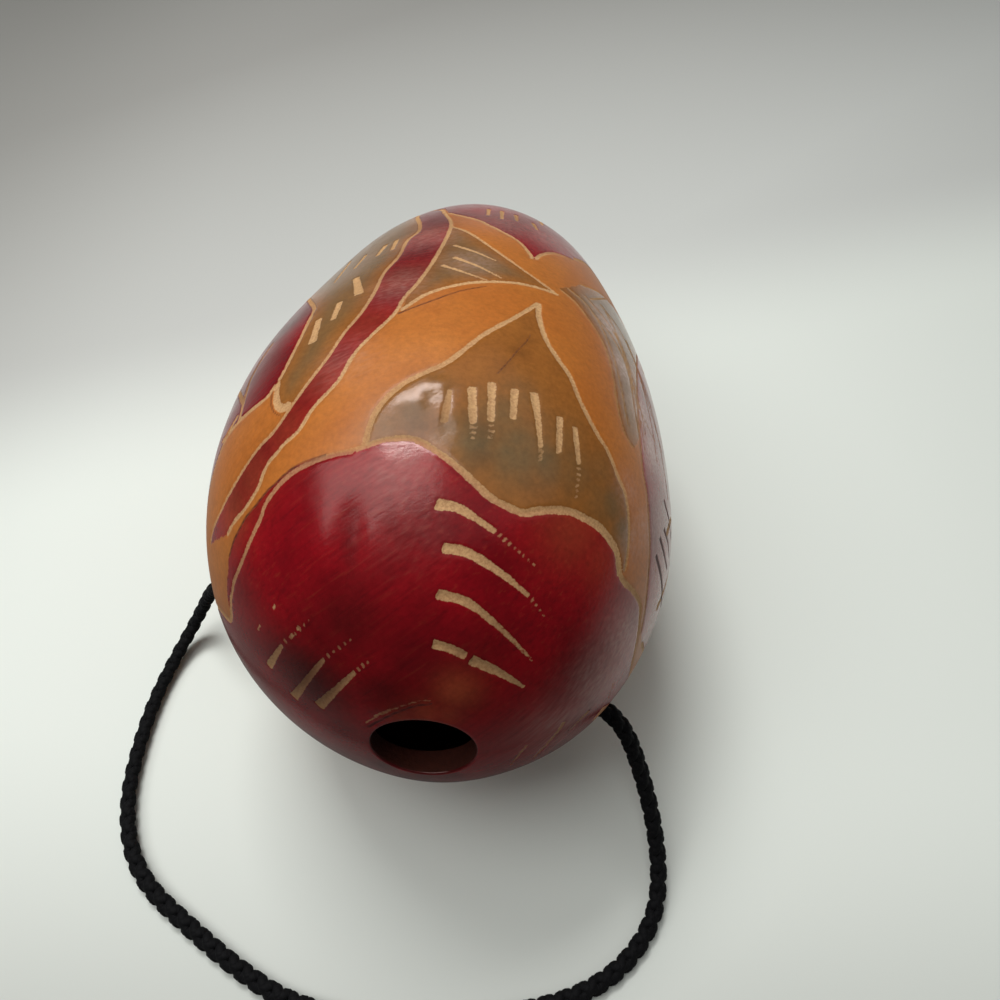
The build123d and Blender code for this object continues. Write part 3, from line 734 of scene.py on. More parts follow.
class Shell:
    """The gourd's form: an egg about a lifted axis, which rests on its flat spot at the frame's origin."""

    def __init__(self, sizes):
        self.ahead = np.array((0.0, -math.cos(sizes.axis_lift), math.sin(sizes.axis_lift)))
        self.up = np.array((0.0, math.sin(sizes.axis_lift), math.cos(sizes.axis_lift)))
        self.right = np.array((1.0, 0.0, 0.0))
        self.radius = sizes.belly_diameter / 2
        self.lengths = (sizes.mouth_end_length, sizes.stem_end_length)
        self.powers = (2.0, sizes.stem_end_power)
        samples = 7200
        turn = np.linspace(0.0, 2 * np.pi, samples)
        outline = np.outer(np.cos(turn), self.ahead) + np.outer(np.sin(turn), self.up)
        outline *= self.reach(outline)[:, None]
        lowest = outline[outline[:, 2].argmin()]
        self.belly = np.array((0.0, -lowest[1], -lowest[2] - sizes.flat_depth))

    def reach(self, directions, inset=0.0):
        """How far the skin is from the belly's centre in each direction."""
        along = directions @ self.ahead
        aside = np.linalg.norm(directions - along[..., None] * self.ahead, axis=-1)
        length = np.where(along > 0, self.lengths[0], self.lengths[1]) - inset
        power = np.where(along > 0, self.powers[0], self.powers[1])
        filled = (np.abs(along) / length) ** power + (aside / (self.radius - inset)) ** power
        return filled ** (-1 / power)

    def place(self, station, turn):
        """Points of the skin, from metres along the axis and radians round it."""
        near = station > 0
        length = np.where(near, self.lengths[0], self.lengths[1])
        power = np.where(near, self.powers[0], self.powers[1])
        radius = self.radius * (1 - (np.abs(station) / length) ** power) ** (1 / power)
        aside = np.sin(turn)[:, None] * self.right + np.cos(turn)[:, None] * self.up
        return self.belly + station[:, None] * self.ahead + radius[:, None] * aside

    def rings(self, mouth_axis, mouth_radius, stem_radius, count, columns, inset=0.0):
        """A grid of points from the mouth to the stem end, and each ring's run along the skin."""
        samples = 6001
        fan = np.linspace(0.0, np.pi, samples)
        line = np.outer(np.cos(fan), self.ahead) + np.outer(np.sin(fan), self.up)
        line *= self.reach(line, inset)[:, None]
        aside = np.linalg.norm(line - (line @ self.ahead)[:, None] * self.ahead, axis=1)
        run = np.concatenate([[0.0], np.cumsum(np.linalg.norm(np.diff(line, axis=0), axis=1))])
        first = np.flatnonzero(aside >= mouth_radius)[0]
        last = np.flatnonzero(aside >= stem_radius)[-1]
        even = np.linspace(run[first], run[last], count)
        angle = np.interp(even, run, fan)
        share = smooth((angle - angle[0]) / (angle[-1] - angle[0]))[:, None]
        axis = unit((1 - share) * mouth_axis + share * self.ahead)
        rightward = unit(self.right - (axis @ self.right)[:, None] * axis)
        upward = np.cross(axis, rightward)
        turn = np.arange(columns) / columns * 2 * np.pi
        aside = (np.sin(turn)[None, :, None] * rightward[:, None]
                 + np.cos(turn)[None, :, None] * upward[:, None])
        ray = np.cos(angle)[:, None, None] * axis[:, None] + np.sin(angle)[:, None, None] * aside
        return self.belly + self.reach(ray, inset)[..., None] * ray, even

    def mouth(self):
        """Where the mouth's axis leaves the skin."""
        start = np.array(MOUNTS["mouth"]["pos_m"])
        axis = np.array(MOUNTS["mouth"]["axis"])
        step, least_step = 0.02, 1e-7
        depth = -step
        while step > least_step:
            ray = start + (depth + step) * axis - self.belly
            if np.linalg.norm(ray) < self.reach(unit(ray)):
                depth += step
            else:
                step /= 2
        return start + depth * axis


class PictureView:
    """Casts places in the photograph's frame onto the shell."""

    def __init__(self, settings, tree):
        turn = Euler((math.pi / 2 - settings.camera_dip, 0.0, settings.camera_heading)).to_matrix()
        self.eye = Vector(settings.camera_place)
        self.right, self.up, self.back = turn.col
        self.focal = settings.lens / settings.sensor * PICTURE_SIDE
        self.tree = tree

    def cast(self, pixel):
        """The shell's point seen at a pixel, or the one that the ray passes nearest to."""
        across = (pixel[0] - PICTURE_SIDE / 2) / self.focal
        above = (PICTURE_SIDE / 2 - pixel[1]) / self.focal
        ray = (self.right * across + self.up * above - self.back).normalized()
        hit = self.tree.ray_cast(self.eye, ray)[0]
        if hit is not None:
            return np.array(hit)
        near, far = 0.05, 0.45
        narrowings = 40
        for _ in range(narrowings):
            third = (far - near) / 3
            gap_near = self.tree.find_nearest(self.eye + ray * (near + third))[3]
            gap_far = self.tree.find_nearest(self.eye + ray * (far - third))[3]
            if gap_near < gap_far:
                far -= third
            else:
                near += third
        return np.array(self.tree.find_nearest(self.eye + ray * near)[0])


def smooth_line(points, step):
    """Points on a smooth curve through the given ones, about a step apart."""
    points = np.array(points, dtype=float)
    ends = np.concatenate([[2 * points[0] - points[1]], points, [2 * points[-1] - points[-2]]])
    out = []
    for before, start, end, after in zip(ends, ends[1:], ends[2:], ends[3:]):
        count = max(2, int(np.linalg.norm(end - start) / step))
        t = (np.arange(count) / count)[:, None]
        slope = end - before
        bend = 2 * before - 5 * start + 4 * end - after
        twist = 3 * start - before - 3 * end + after
        out.append(0.5 * (2 * start + slope * t + bend * t ** 2 + twist * t ** 3))
    out.append(points[-1:])
    return np.concatenate(out)


def trace(shell, view, source, points):
    """Points on the shell along a line read from the picture or given as places on the shell."""
    step_pixels, step_places = 1.2, 0.5
    if source == PICTURE:
        return np.array([view.cast(pixel) for pixel in smooth_line(points, step_pixels)])
    line = smooth_line(points, step_places)
    placed = shell.place(line[:, 0] * MM, np.radians(line[:, 1]))
    return np.array([view.tree.find_nearest(Vector(point))[0] for point in placed])


def resample(points, step):
    """The same line with points an even step apart."""
    run = np.concatenate([[0.0], np.cumsum(np.linalg.norm(np.diff(points, axis=0), axis=1))])
    even = np.linspace(0.0, run[-1], max(2, int(run[-1] / step) + 1))
    return np.stack([np.interp(even, run, points[:, k]) for k in range(3)], axis=1), even


def gouge(points, start_width, end_width, random):
    """A cut's points and half widths, which wander because it was made by hand."""
    step = 0.3 * MM
    wander = 0.14
    line, run = resample(points, step)
    share = run / max(run[-1], 1e-9)
    half = (start_width + (end_width - start_width) * share) * MM / 2
    waves = random.uniform(0.0, 2 * np.pi, 3)
    lengths = np.array((2.3, 5.9, 17.0)) * MM
    sway = sum(np.sin(2 * np.pi * run / length + wave) for length, wave in zip(lengths, waves)) / 3
    return line, half * (1 + wander * sway)


def chatter(points, end, width, random):
    """Small marks across its way that a skipping gouge leaves, from a stroke's end to a further place."""
    start = np.array(points[-1], dtype=float)
    way = np.array(end, dtype=float) - start
    across = np.array((-way[1], way[0])) / np.linalg.norm(way)
    spacing = 6
    start_width, end_width = 0.75, 0.6
    first_reach, reach_loss = 2.6, 1.4
    count = max(3, int(np.linalg.norm(way) / spacing))
    marks = []
    for i in range(count):
        middle = start + way * (i + 0.8) / (count + 0.3)
        reach = across * width * (first_reach - reach_loss * i / count) * random.uniform(0.7, 1.1)
        marks.append(((tuple(middle - reach), tuple(middle + reach)), start_width, end_width))
    return marks


def inside_outline(points, outline):
    """Which flat points lie inside a closed outline."""
    inside = np.zeros(len(points), dtype=bool)
    near = np.flatnonzero(((points >= outline.min(0)) & (points <= outline.max(0))).all(1))
    x, y = points[near].T
    odd = np.zeros(len(near), dtype=bool)
    for (x0, y0), (x1, y1) in zip(outline, np.roll(outline, -1, axis=0)):
        if y0 != y1:
            odd ^= ((y0 > y) != (y1 > y)) & (x < (x1 - x0) * (y - y0) / (y1 - y0) + x0)
    inside[near] = odd
    return inside


def nearest_of(samples, points):
    """Distance from each point to the nearest sample, and that sample's number."""
    tree = KDTree(len(samples))
    for number, sample in enumerate(samples):
        tree.insert(sample, number)
    tree.balance()
    found = [tree.find(point)[1:] for point in points]
    number, distance = zip(*found)
    return np.array(distance), np.array(number)


def cut_edges(shell, view, cuts, points, random):
    """Each point's signed distance to the edge of the cuts, negative inside, and how bare the cut is."""
    places, halves, headings, ends, bares = [], [], [], [], []
    for source, start_width, end_width, start_bare, end_bare, line, carry in cuts:
        marks = [(line, start_width, end_width, start_bare, end_bare)]
        if carry:
            shallow = CHATTER_BARE * end_bare
            marks += [(*mark, shallow, shallow) for mark in chatter(line, carry, end_width, random)]
        for mark, start, end, first_bare, last_bare in marks:
            path, half = gouge(trace(shell, view, source, mark), start, end, random)
            places.append(path)
            halves.append(half)
            headings.append(unit(np.gradient(path, axis=0)))
            ends.append(np.concatenate([[-1.0], np.zeros(len(path) - 2), [1.0]]))
            bares.append(np.linspace(first_bare, last_bare, len(path)))
    places = np.concatenate(places)
    distance, number = nearest_of(places, points)
    ahead = ((points - places[number]) * np.concatenate(headings)[number]).sum(1)
    overrun = ahead * np.concatenate(ends)[number]
    aside = np.sqrt(np.maximum(distance ** 2 - overrun ** 2, 0.0)) - np.concatenate(halves)[number]
    return np.where(overrun > 0, np.maximum(aside, overrun), aside), np.concatenate(bares)[number]


def dabs(view, spots, points):
    """The strength at each point of the strongest of some soft dabs."""
    strength = np.zeros(len(points))
    for pixel, spread, most in spots:
        near = most * np.exp(-((points - view.cast(pixel)) ** 2).sum(1) / (spread * MM) ** 2)
        strength = np.maximum(strength, near)
    return strength


def field_distance(shell, view, fields, far_field, points, flat, flat_of):
    """Signed distance to the border of dyed fields, positive inside them."""
    border_step, outline_step = 0.7 * MM, 1.2 * MM
    inside = np.zeros(len(points), dtype=bool)
    borders = []
    for field in fields + ((far_field,) if far_field else ()):
        outline = np.concatenate([trace(shell, view, source, line) for source, line in field])
        borders.append(resample(np.concatenate([outline, outline[:1]]), border_step)[0])
        within = inside_outline(flat, flat_of(resample(outline, outline_step)[0]))
        inside |= ~within if field is far_field else within
    distance = nearest_of(np.concatenate(borders), points)[0]
    return np.where(inside, distance, -distance)


def gourd_skin_material(sizes):
    """Dyed, carved and waxed gourd rind: brushed dyes over tan, pale cuts and a soft uneven wax gloss, with
    painted shade, painted sheen and a painted highlight in places.
    """
    material = new_material("waxed_dyed_gourd_rind")
    place = add_node(material, "ShaderNodeTexCoord").outputs["Object"]
    blotch_mm, mottle_mm, grain_mm, fine_mm = 26.0, 5.0, 0.6, 1.3
    blotch, mottle, grain, fine = (
        add_node(material, "ShaderNodeTexNoise", {
            "Vector": place, "Scale": 1000 / size_mm, "Detail": detail, "Roughness": roughness})
        for size_mm, detail, roughness in (
            (blotch_mm, 3.0, 0.55), (mottle_mm, 5.0, 0.6), (grain_mm, 3.0, 0.6), (fine_mm, 3.0, 0.6)))
    streak_width_mm, streak_length_mm = 0.9, 22.0
    turned = add_node(material, "ShaderNodeMapping", {
        "Vector": place, "Rotation": (math.radians(35), math.radians(-50), 0.0)})
    drawn_out = add_node(material, "ShaderNodeMapping", {
        "Vector": turned.outputs["Vector"],
        "Scale": (1000 / streak_width_mm, 1000 / streak_width_mm, 1000 / streak_length_mm)})
    streak = add_node(material, "ShaderNodeTexNoise", {
        "Vector": drawn_out.outputs["Vector"], "Scale": 1.0, "Detail": 3.0, "Roughness": 0.5})
    fields = {name: add_node(material, "ShaderNodeAttribute", attribute_name=name).outputs["Fac"]
              for name in ("cut", "bare", "dark_cut_and_shadow", "crimson", "leaf",
                           "olive_dab", "thin_dab", "shade_and_dark_dye", "scuff_and_sheen")}

    amber_light = add_node(material, "ShaderNodeMix", {
        0: blotch.outputs["Fac"], 6: rgba(sizes.amber), 7: rgba(colour("bf7730"))}, data_type="RGBA")
    amber_spots = add_node(material, "ShaderNodeMapRange", {
        "Value": mottle.outputs["Fac"], "From Min": 0.52, "From Max": 0.8, "To Max": 0.4})
    amber = add_node(material, "ShaderNodeMix", {
        0: amber_spots.outputs[0], 6: amber_light.outputs[2], 7: rgba(colour("8f4a14"))}, data_type="RGBA")

    leaf_ground = add_node(material, "ShaderNodeMix", {
        0: mottle.outputs["Fac"], 6: rgba(colour("a5682e")), 7: rgba(colour("865122"))}, data_type="RGBA")
    leaf_cover = add_node(material, "ShaderNodeMapRange", {
        "Value": fields["leaf"], "From Min": -0.4, "From Max": 0.4}, interpolation_type="SMOOTHSTEP")
    leafed = add_node(material, "ShaderNodeMix", {
        0: leaf_cover.outputs[0], 6: amber.outputs[2], 7: leaf_ground.outputs[2]}, data_type="RGBA")
    olive_sprayed = add_node(material, "ShaderNodeMapRange", {
        "Value": mottle.outputs["Fac"], "From Min": 0.3, "From Max": 0.7, "To Min": 0.7, "To Max": 0.95})
    olive_cover = add_node(material, "ShaderNodeMath", {
        0: olive_sprayed.outputs[0], 1: fields["olive_dab"]}, operation="MULTIPLY")
    olive_tone = add_node(material, "ShaderNodeMix", {
        0: blotch.outputs["Fac"], 6: rgba(sizes.olive), 7: rgba(colour("716244"))}, data_type="RGBA")
    sprayed = add_node(material, "ShaderNodeMix", {
        0: olive_cover.outputs[0], 6: leafed.outputs[2], 7: olive_tone.outputs[2]}, data_type="RGBA")

    crimson_dark = add_node(material, "ShaderNodeMapRange", {
        "Value": blotch.outputs["Fac"], "From Min": 0.35, "From Max": 0.65})
    crimson_tone = add_node(material, "ShaderNodeMix", {
        0: crimson_dark.outputs[0], 6: rgba(colour("720812")), 7: rgba(sizes.crimson)}, data_type="RGBA")
    dark_brush = add_node(material, "ShaderNodeMapRange", {
        "Value": streak.outputs["Fac"], "From Min": 0.46, "From Max": 0.3, "To Max": 0.3})
    brushed = add_node(material, "ShaderNodeMix", {
        0: dark_brush.outputs[0], 6: crimson_tone.outputs[2], 7: rgba(colour("4a0610"))}, data_type="RGBA")
    light_brush = add_node(material, "ShaderNodeMapRange", {
        "Value": streak.outputs["Fac"], "From Min": 0.58, "From Max": 0.78, "To Max": 0.2})
    thin_cover = add_node(material, "ShaderNodeMath", {
        0: light_brush.outputs[0], 1: fields["thin_dab"]}, operation="ADD", use_clamp=True)
    worn = add_node(material, "ShaderNodeMix", {
        0: thin_cover.outputs[0], 6: brushed.outputs[2], 7: rgba(colour("a4482c"))}, data_type="RGBA")
    crimson_edge = add_node(material, "ShaderNodeMapRange", {
        "Value": fields["crimson"], "From Min": -0.5, "From Max": 0.5}, interpolation_type="SMOOTHSTEP")
    dyed = add_node(material, "ShaderNodeMix", {
        0: crimson_edge.outputs[0], 6: sprayed.outputs[2], 7: worn.outputs[2]}, data_type="RGBA")
    # Painted shade, and darker dye, from the dark dabs
    shaded_and_smudged = add_node(material, "ShaderNodeMix", {
        0: fields["shade_and_dark_dye"], 6: dyed.outputs[2], 7: rgba(colour("2a0a0a"))}, data_type="RGBA")
    fine_shade = add_node(material, "ShaderNodeMapRange", {
        "Value": fine.outputs["Fac"], "From Min": 0.3, "From Max": 0.7, "To Min": 0.86, "To Max": 1.1})
    mottled = add_node(material, "ShaderNodeMix", {
        0: 1.0, 6: shaded_and_smudged.outputs[2], 7: fine_shade.outputs[0]}, data_type="RGBA", blend_type="MULTIPLY")
    # Painted sheen, and scuffed wax, in pale streaks from the pale dabs
    scuff_and_sheen_lines = add_node(material, "ShaderNodeMapRange", {
        "Value": streak.outputs["Fac"], "From Min": 0.4, "From Max": 0.65, "To Min": 0.4, "To Max": 0.95})
    scuff_and_sheen_cover = add_node(material, "ShaderNodeMath", {
        0: scuff_and_sheen_lines.outputs[0], 1: fields["scuff_and_sheen"]}, operation="MULTIPLY")
    scuffed_and_sheened = add_node(material, "ShaderNodeMix", {
        0: scuff_and_sheen_cover.outputs[0], 6: mottled.outputs[2], 7: rgba(colour("cfb0a4"))}, data_type="RGBA")

    flesh_fleck = add_node(material, "ShaderNodeMapRange", {
        "Value": grain.outputs["Fac"], "From Min": 0.38, "From Max": 0.7, "To Max": 0.75})
    flesh_tone = add_node(material, "ShaderNodeMix", {
        0: flesh_fleck.outputs[0], 6: rgba(sizes.flesh), 7: rgba(colour("9f7048"))}, data_type="RGBA")
    # The dark dabs' painted shade and dye darken the bare cuts too
    flesh_shaded_and_stained = add_node(material, "ShaderNodeMix", {
        0: fields["shade_and_dark_dye"], 6: flesh_tone.outputs[2], 7: rgba(colour("5a3018"))}, data_type="RGBA")
    cut_edge = add_node(material, "ShaderNodeMath", {
        0: grain.outputs["Fac"], 1: 0.5, 2: fields["cut"]}, operation="MULTIPLY_ADD")
    cut_cover = add_node(material, "ShaderNodeMapRange", {
        "Value": cut_edge.outputs[0], "From Min": 0.33, "From Max": 0.13})
    bare_cover = add_node(material, "ShaderNodeMath", {
        0: cut_cover.outputs[0], 1: fields["bare"]}, operation="MULTIPLY")
    carved = add_node(material, "ShaderNodeMix", {
        0: bare_cover.outputs[0], 6: scuffed_and_sheened.outputs[2], 7: flesh_shaded_and_stained.outputs[2]}, data_type="RGBA")
    # Dark cuts and painted shadow lines
    dark_and_shadow_cover = add_node(material, "ShaderNodeMapRange", {
        "Value": fields["dark_cut_and_shadow"], "From Min": 0.2, "From Max": -0.15, "To Max": 0.85})
    finished = add_node(material, "ShaderNodeMix", {
        0: dark_and_shadow_cover.outputs[0], 6: carved.outputs[2], 7: rgba(colour("380f10"))}, data_type="RGBA")

    wax = add_node(material, "ShaderNodeMapRange", {
        "Value": mottle.outputs["Fac"], "From Min": 0.3, "From Max": 0.7, "To Min": 0.16, "To Max": 0.25})
    painted = add_node(material, "ShaderNodeMath", {
        0: leaf_cover.outputs[0], 1: crimson_edge.outputs[0]}, operation="MAXIMUM")
    polish = add_node(material, "ShaderNodeMix", {0: painted.outputs[0], 2: 0.4, 3: wax.outputs[0]})
    dulled = add_node(material, "ShaderNodeMath", {
        0: cut_cover.outputs[0], 1: dark_and_shadow_cover.outputs[0]}, operation="MAXIMUM")
    gloss = add_node(material, "ShaderNodeMix", {0: dulled.outputs[0], 2: polish.outputs[0], 3: 0.7})
    relief = add_node(material, "ShaderNodeMath", {
        0: grain.outputs["Fac"], 1: 0.45, 2: streak.outputs["Fac"]}, operation="MULTIPLY_ADD")
    bump = add_node(material, "ShaderNodeBump", {
        "Strength": 0.2, "Distance": 0.0002, "Height": relief.outputs[0]})
    surface = add_node(material, "ShaderNodeBsdfPrincipled", {
        "Base Color": finished.outputs[2], "Roughness": gloss.outputs[0], "IOR": 1.46,
        "Specular IOR Level": 0.45, "Specular Tint": rgba(colour("ffece4")),
        "Normal": bump.outputs["Normal"]})
    add_node(material, "ShaderNodeOutputMaterial", {"Surface": surface.outputs["BSDF"]})
    return material


def gourd_flesh_material():
    """Raw dried gourd flesh inside the shell and in its drilled holes: dull, fibrous and near-black brown,
    far darker than the pale flesh of the cuts, as painted shade of the hollow and the holes.
    """
    material = new_material("raw_dried_gourd_flesh")
    place = add_node(material, "ShaderNodeTexCoord").outputs["Object"]
    fibre_mm = 1.4
    fibre = add_node(material, "ShaderNodeTexNoise", {
        "Vector": place, "Scale": 1000 / fibre_mm, "Detail": 6.0, "Roughness": 0.65})
    # Painted shade: near-black browns for the shaded hollow
    tone = add_node(material, "ShaderNodeMix", {
        0: fibre.outputs["Fac"], 6: rgba(colour("240a06")), 7: rgba(colour("451b0d"))}, data_type="RGBA")
    bump = add_node(material, "ShaderNodeBump", {
        "Strength": 0.6, "Distance": 0.0006, "Height": fibre.outputs["Fac"]})
    surface = add_node(material, "ShaderNodeBsdfPrincipled", {
        "Base Color": tone.outputs[2], "Roughness": 0.85, "Specular IOR Level": 0.2,
        "Normal": bump.outputs["Normal"]})
    add_node(material, "ShaderNodeOutputMaterial", {"Surface": surface.outputs["BSDF"]})
    return material


def stem_scar_material():
    """Dry corky scar where the stem broke off: dark brown and rough."""
    material = new_material("dried_stem_scar")
    place = add_node(material, "ShaderNodeTexCoord").outputs["Object"]
    cork_mm = 1.0
    cork = add_node(material, "ShaderNodeTexVoronoi", {"Vector": place, "Scale": 1000 / cork_mm})
    tone = add_node(material, "ShaderNodeMix", {
        0: cork.outputs["Distance"], 6: rgba(colour("2c170c")), 7: rgba(colour("6b4526"))}, data_type="RGBA")
    bump = add_node(material, "ShaderNodeBump", {
        "Strength": 0.7, "Distance": 0.0004, "Height": cork.outputs["Distance"]})
    surface = add_node(material, "ShaderNodeBsdfPrincipled", {
        "Base Color": tone.outputs[2], "Roughness": 0.9, "Normal": bump.outputs["Normal"]})
    add_node(material, "ShaderNodeOutputMaterial", {"Surface": surface.outputs["BSDF"]})
    return material


def paper_material(settings):
    """Matt pale paper: white under the gourd, with painted shade that makes it greyer behind, in front and
    to the left, lost in the backdrop far off.
    """
    material = new_material("matt_pale_paper")
    place = add_node(material, "ShaderNodeTexCoord").outputs["Object"]
    parts = add_node(material, "ShaderNodeSeparateXYZ", {0: place})
    edge_slant = -0.39
    slanted = add_node(material, "ShaderNodeMath", {
        0: parts.outputs["X"], 1: edge_slant, 2: parts.outputs["Y"]}, operation="MULTIPLY_ADD")
    # Painted shade: greyer paper behind, darker still far behind
    behind = add_node(material, "ShaderNodeMapRange", {
        "Value": slanted.outputs[0], "From Min": 0.08, "From Max": 0.2}, interpolation_type="SMOOTHSTEP")
    far_slant = -0.9
    far_slanted = add_node(material, "ShaderNodeMath", {
        0: parts.outputs["X"], 1: far_slant, 2: parts.outputs["Y"]}, operation="MULTIPLY_ADD")
    far_behind = add_node(material, "ShaderNodeMapRange", {
        "Value": far_slanted.outputs[0], "From Min": 0.15, "From Max": 0.6})
    far_shade = add_node(material, "ShaderNodeMix", {
        0: far_behind.outputs[0], 6: rgba(settings.floor_far_shade), 7: rgba(settings.floor_farthest)},
        data_type="RGBA")
    tone = add_node(material, "ShaderNodeMix", {
        0: behind.outputs[0], 6: rgba(settings.floor), 7: far_shade.outputs[2]}, data_type="RGBA")
    # Painted shade: the paper darkens towards the front
    front_shade = add_node(material, "ShaderNodeMapRange", {
        "Value": parts.outputs["Y"], "From Min": -0.06, "From Max": -0.28}, interpolation_type="SMOOTHSTEP")
    front_shaded = add_node(material, "ShaderNodeMix", {
        0: front_shade.outputs[0], 6: tone.outputs[2], 7: rgba(settings.floor_front)}, data_type="RGBA")
    # Painted shadow: the paper darkens to the left
    left_shade = add_node(material, "ShaderNodeMapRange", {
        "Value": parts.outputs["X"], "From Min": -0.16, "From Max": -0.42, "To Max": 0.6},
        interpolation_type="SMOOTHSTEP")
    shaded_paper = add_node(material, "ShaderNodeMix", {
        0: left_shade.outputs[0], 6: front_shaded.outputs[2], 7: rgba(settings.floor_front)}, data_type="RGBA")
    # Painted shade in reflections only: the floor that the wax mirrors is darker in front and to the left,
    # standing in for the room's dark side there
    ray = add_node(material, "ShaderNodeLightPath")
    room_slant = 0.5
    room_slanted = add_node(material, "ShaderNodeMath", {
        0: parts.outputs["X"], 1: room_slant, 2: parts.outputs["Y"]}, operation="MULTIPLY_ADD")
    room_shade = add_node(material, "ShaderNodeMapRange", {
        "Value": room_slanted.outputs[0], "From Min": -0.08, "From Max": 0.03,
        "To Min": 0.25, "To Max": 1.1})
    mirror_shaded = add_node(material, "ShaderNodeMix", {
        0: ray.outputs["Is Glossy Ray"], 6: shaded_paper.outputs[2], 7: room_shade.outputs[0]},
        data_type="RGBA", blend_type="MULTIPLY")
    surface = add_node(material, "ShaderNodeBsdfPrincipled", {
        "Base Color": mirror_shaded.outputs[2], "Roughness": 0.6, "Specular IOR Level": 0.2})
    distance = add_node(material, "ShaderNodeVectorMath", {0: place}, operation="LENGTH")
    far_off = add_node(material, "ShaderNodeMapRange", {
        "Value": distance.outputs["Value"], "From Min": 0.7, "From Max": 1.3},
        interpolation_type="SMOOTHSTEP")
    backdrop_share = add_node(material, "ShaderNodeMath", {
        0: far_off.outputs[0], 1: ray.outputs["Is Camera Ray"]}, operation="MULTIPLY")
    backdrop = add_node(material, "ShaderNodeEmission", {
        "Color": rgba(settings.backdrop), "Strength": BACKDROP_LEVEL})
    blended = add_node(material, "ShaderNodeMixShader", {
        0: backdrop_share.outputs[0], 1: surface.outputs["BSDF"], 2: backdrop.outputs[0]})
    add_node(material, "ShaderNodeOutputMaterial", {"Surface": blended.outputs[0]})
    return material


class GOURD_OT_studio(bpy.types.Operator):
    """Adds the camera, the soft light and the pale floor"""
    bl_idname = "gourd.studio"
    bl_label = "Studio"

    def execute(self, context):
        settings = context.scene.gourd_studio
        camera = bpy.data.cameras.new("photo_camera")
        camera.lens = settings.lens
        camera.sensor_width = settings.sensor
        camera.clip_start = 0.01
        stand = bpy.data.objects.new("photo_camera", camera)
        stand.location = settings.camera_place
        stand.rotation_euler = (math.pi / 2 - settings.camera_dip, 0.0, settings.camera_heading)
        context.scene.collection.objects.link(stand)
        context.scene.camera = stand

        half = 1.5
        corners = ((-half, -half, 0), (half, -half, 0), (half, half, 0), (-half, half, 0))
        floor = add_object("floor", corners, ((0, 1, 2, 3),), [paper_material(settings)])

        gourd_middle = Vector((0.0, -0.02, 0.07))
        for name, width, length, power, way, distance in (
            ("key_light", 0.40, 0.19, settings.key_power, (-0.21, 0.37, 0.90), 0.9),
            ("top_light", 0.50, 0.82, settings.top_power, (-0.41, -0.09, 0.91), 0.9),
            ("ceiling_light", 2.4, 2.4, settings.ceiling_power, (0.2, 0.15, 1.0), 1.6),
        ):
            lamp = bpy.data.lights.new(name, "AREA")
            lamp.shape = "RECTANGLE"
            lamp.size = width
            lamp.size_y = length
            lamp.energy = power
            holder = bpy.data.objects.new(name, lamp)
            from_gourd = Vector(way).normalized()
            holder.location = gourd_middle + from_gourd * distance
            holder.rotation_euler = from_gourd.to_track_quat("Z", "Y").to_euler()
            context.scene.collection.objects.link(holder)

        world = bpy.data.worlds.new("soft_room")
        world.use_nodes = True
        room = world.node_tree.nodes["Background"]
        room.inputs["Color"].default_value = rgba(settings.backdrop)
        seen = add_node(world, "ShaderNodeLightPath")
        level = add_node(world, "ShaderNodeMapRange", {
            "Value": seen.outputs["Is Camera Ray"], "To Min": ROOM_LEVEL, "To Max": BACKDROP_LEVEL})
        world.node_tree.links.new(level.outputs[0], room.inputs["Strength"])
        context.scene.world = world
        context.scene.view_settings.view_transform = "Standard"
        return {"FINISHED"}


class GOURD_OT_knots(bpy.types.Operator):
    """Ties the two stopper knots inside the shell"""
    bl_idname = "gourd.knots"
    bl_label = "Stopper knots"

    def execute(self, context):
        settings = context.scene.gourd_cord
        for node, seat, inward in (
            ("knot_right", CORD_POINTS[0], -TO_RIGHT),
            ("knot_left", CORD_POINTS[-1], TO_RIGHT),
        ):
            line = knot_line(np.array(seat), inward, settings)
            piece = add_braid("stopper_" + node, line, settings, settings.diameter * KNOT_TIGHTNESS)
            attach(piece, "cord")
            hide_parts(node)
        return {"FINISHED"}


class GOURD_OT_cord(bpy.types.Operator):
    """Braids the hanging cord along its route"""
    bl_idname = "gourd.cord"
    bl_label = "Hanging cord"

    def execute(self, context):
        settings = context.scene.gourd_cord
        line = cord_line()
        piece = add_braid("braided_hanging_cord", line, settings, settings.diameter)
        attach(piece, "cord")
        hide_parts("hanging_cord")
        return {"FINISHED"}


def grid_normals(grid, centre):
    """Directions out of a grid of rings round a centre, square to the grid."""
    turned = np.cross(np.roll(grid, -1, axis=1) - np.roll(grid, 1, axis=1), np.gradient(grid, axis=0))
    turned *= np.sign((turned * (grid - centre)).sum(-1, keepdims=True))
    return unit(turned)


def swelled(shell, view, skin, random):
    """The skin with its unevenness: the swells that the photograph shows, and small chance ones."""
    bumps = [(view.cast(pixel), rise * MM, spread * MM) for pixel, rise, spread in SWELLS]
    chance_swells = 40
    full_turn = 6.283
    stations, rises_mm, spreads_mm = (-0.13, 0.06), (-0.3, 0.3), (8, 20)
    for _ in range(chance_swells):
        station = random.uniform(*stations)
        turn = random.uniform(0, full_turn)
        middle = shell.place(np.array([station]), np.array([turn]))[0]
        bumps.append((middle, random.uniform(*rises_mm) * MM, random.uniform(*spreads_mm) * MM))
    rise = sum(height * np.exp(-((skin - middle) ** 2).sum(-1) / spread ** 2)
               for middle, height, spread in bumps)
    return skin + rise[..., None] * grid_normals(skin, shell.belly)


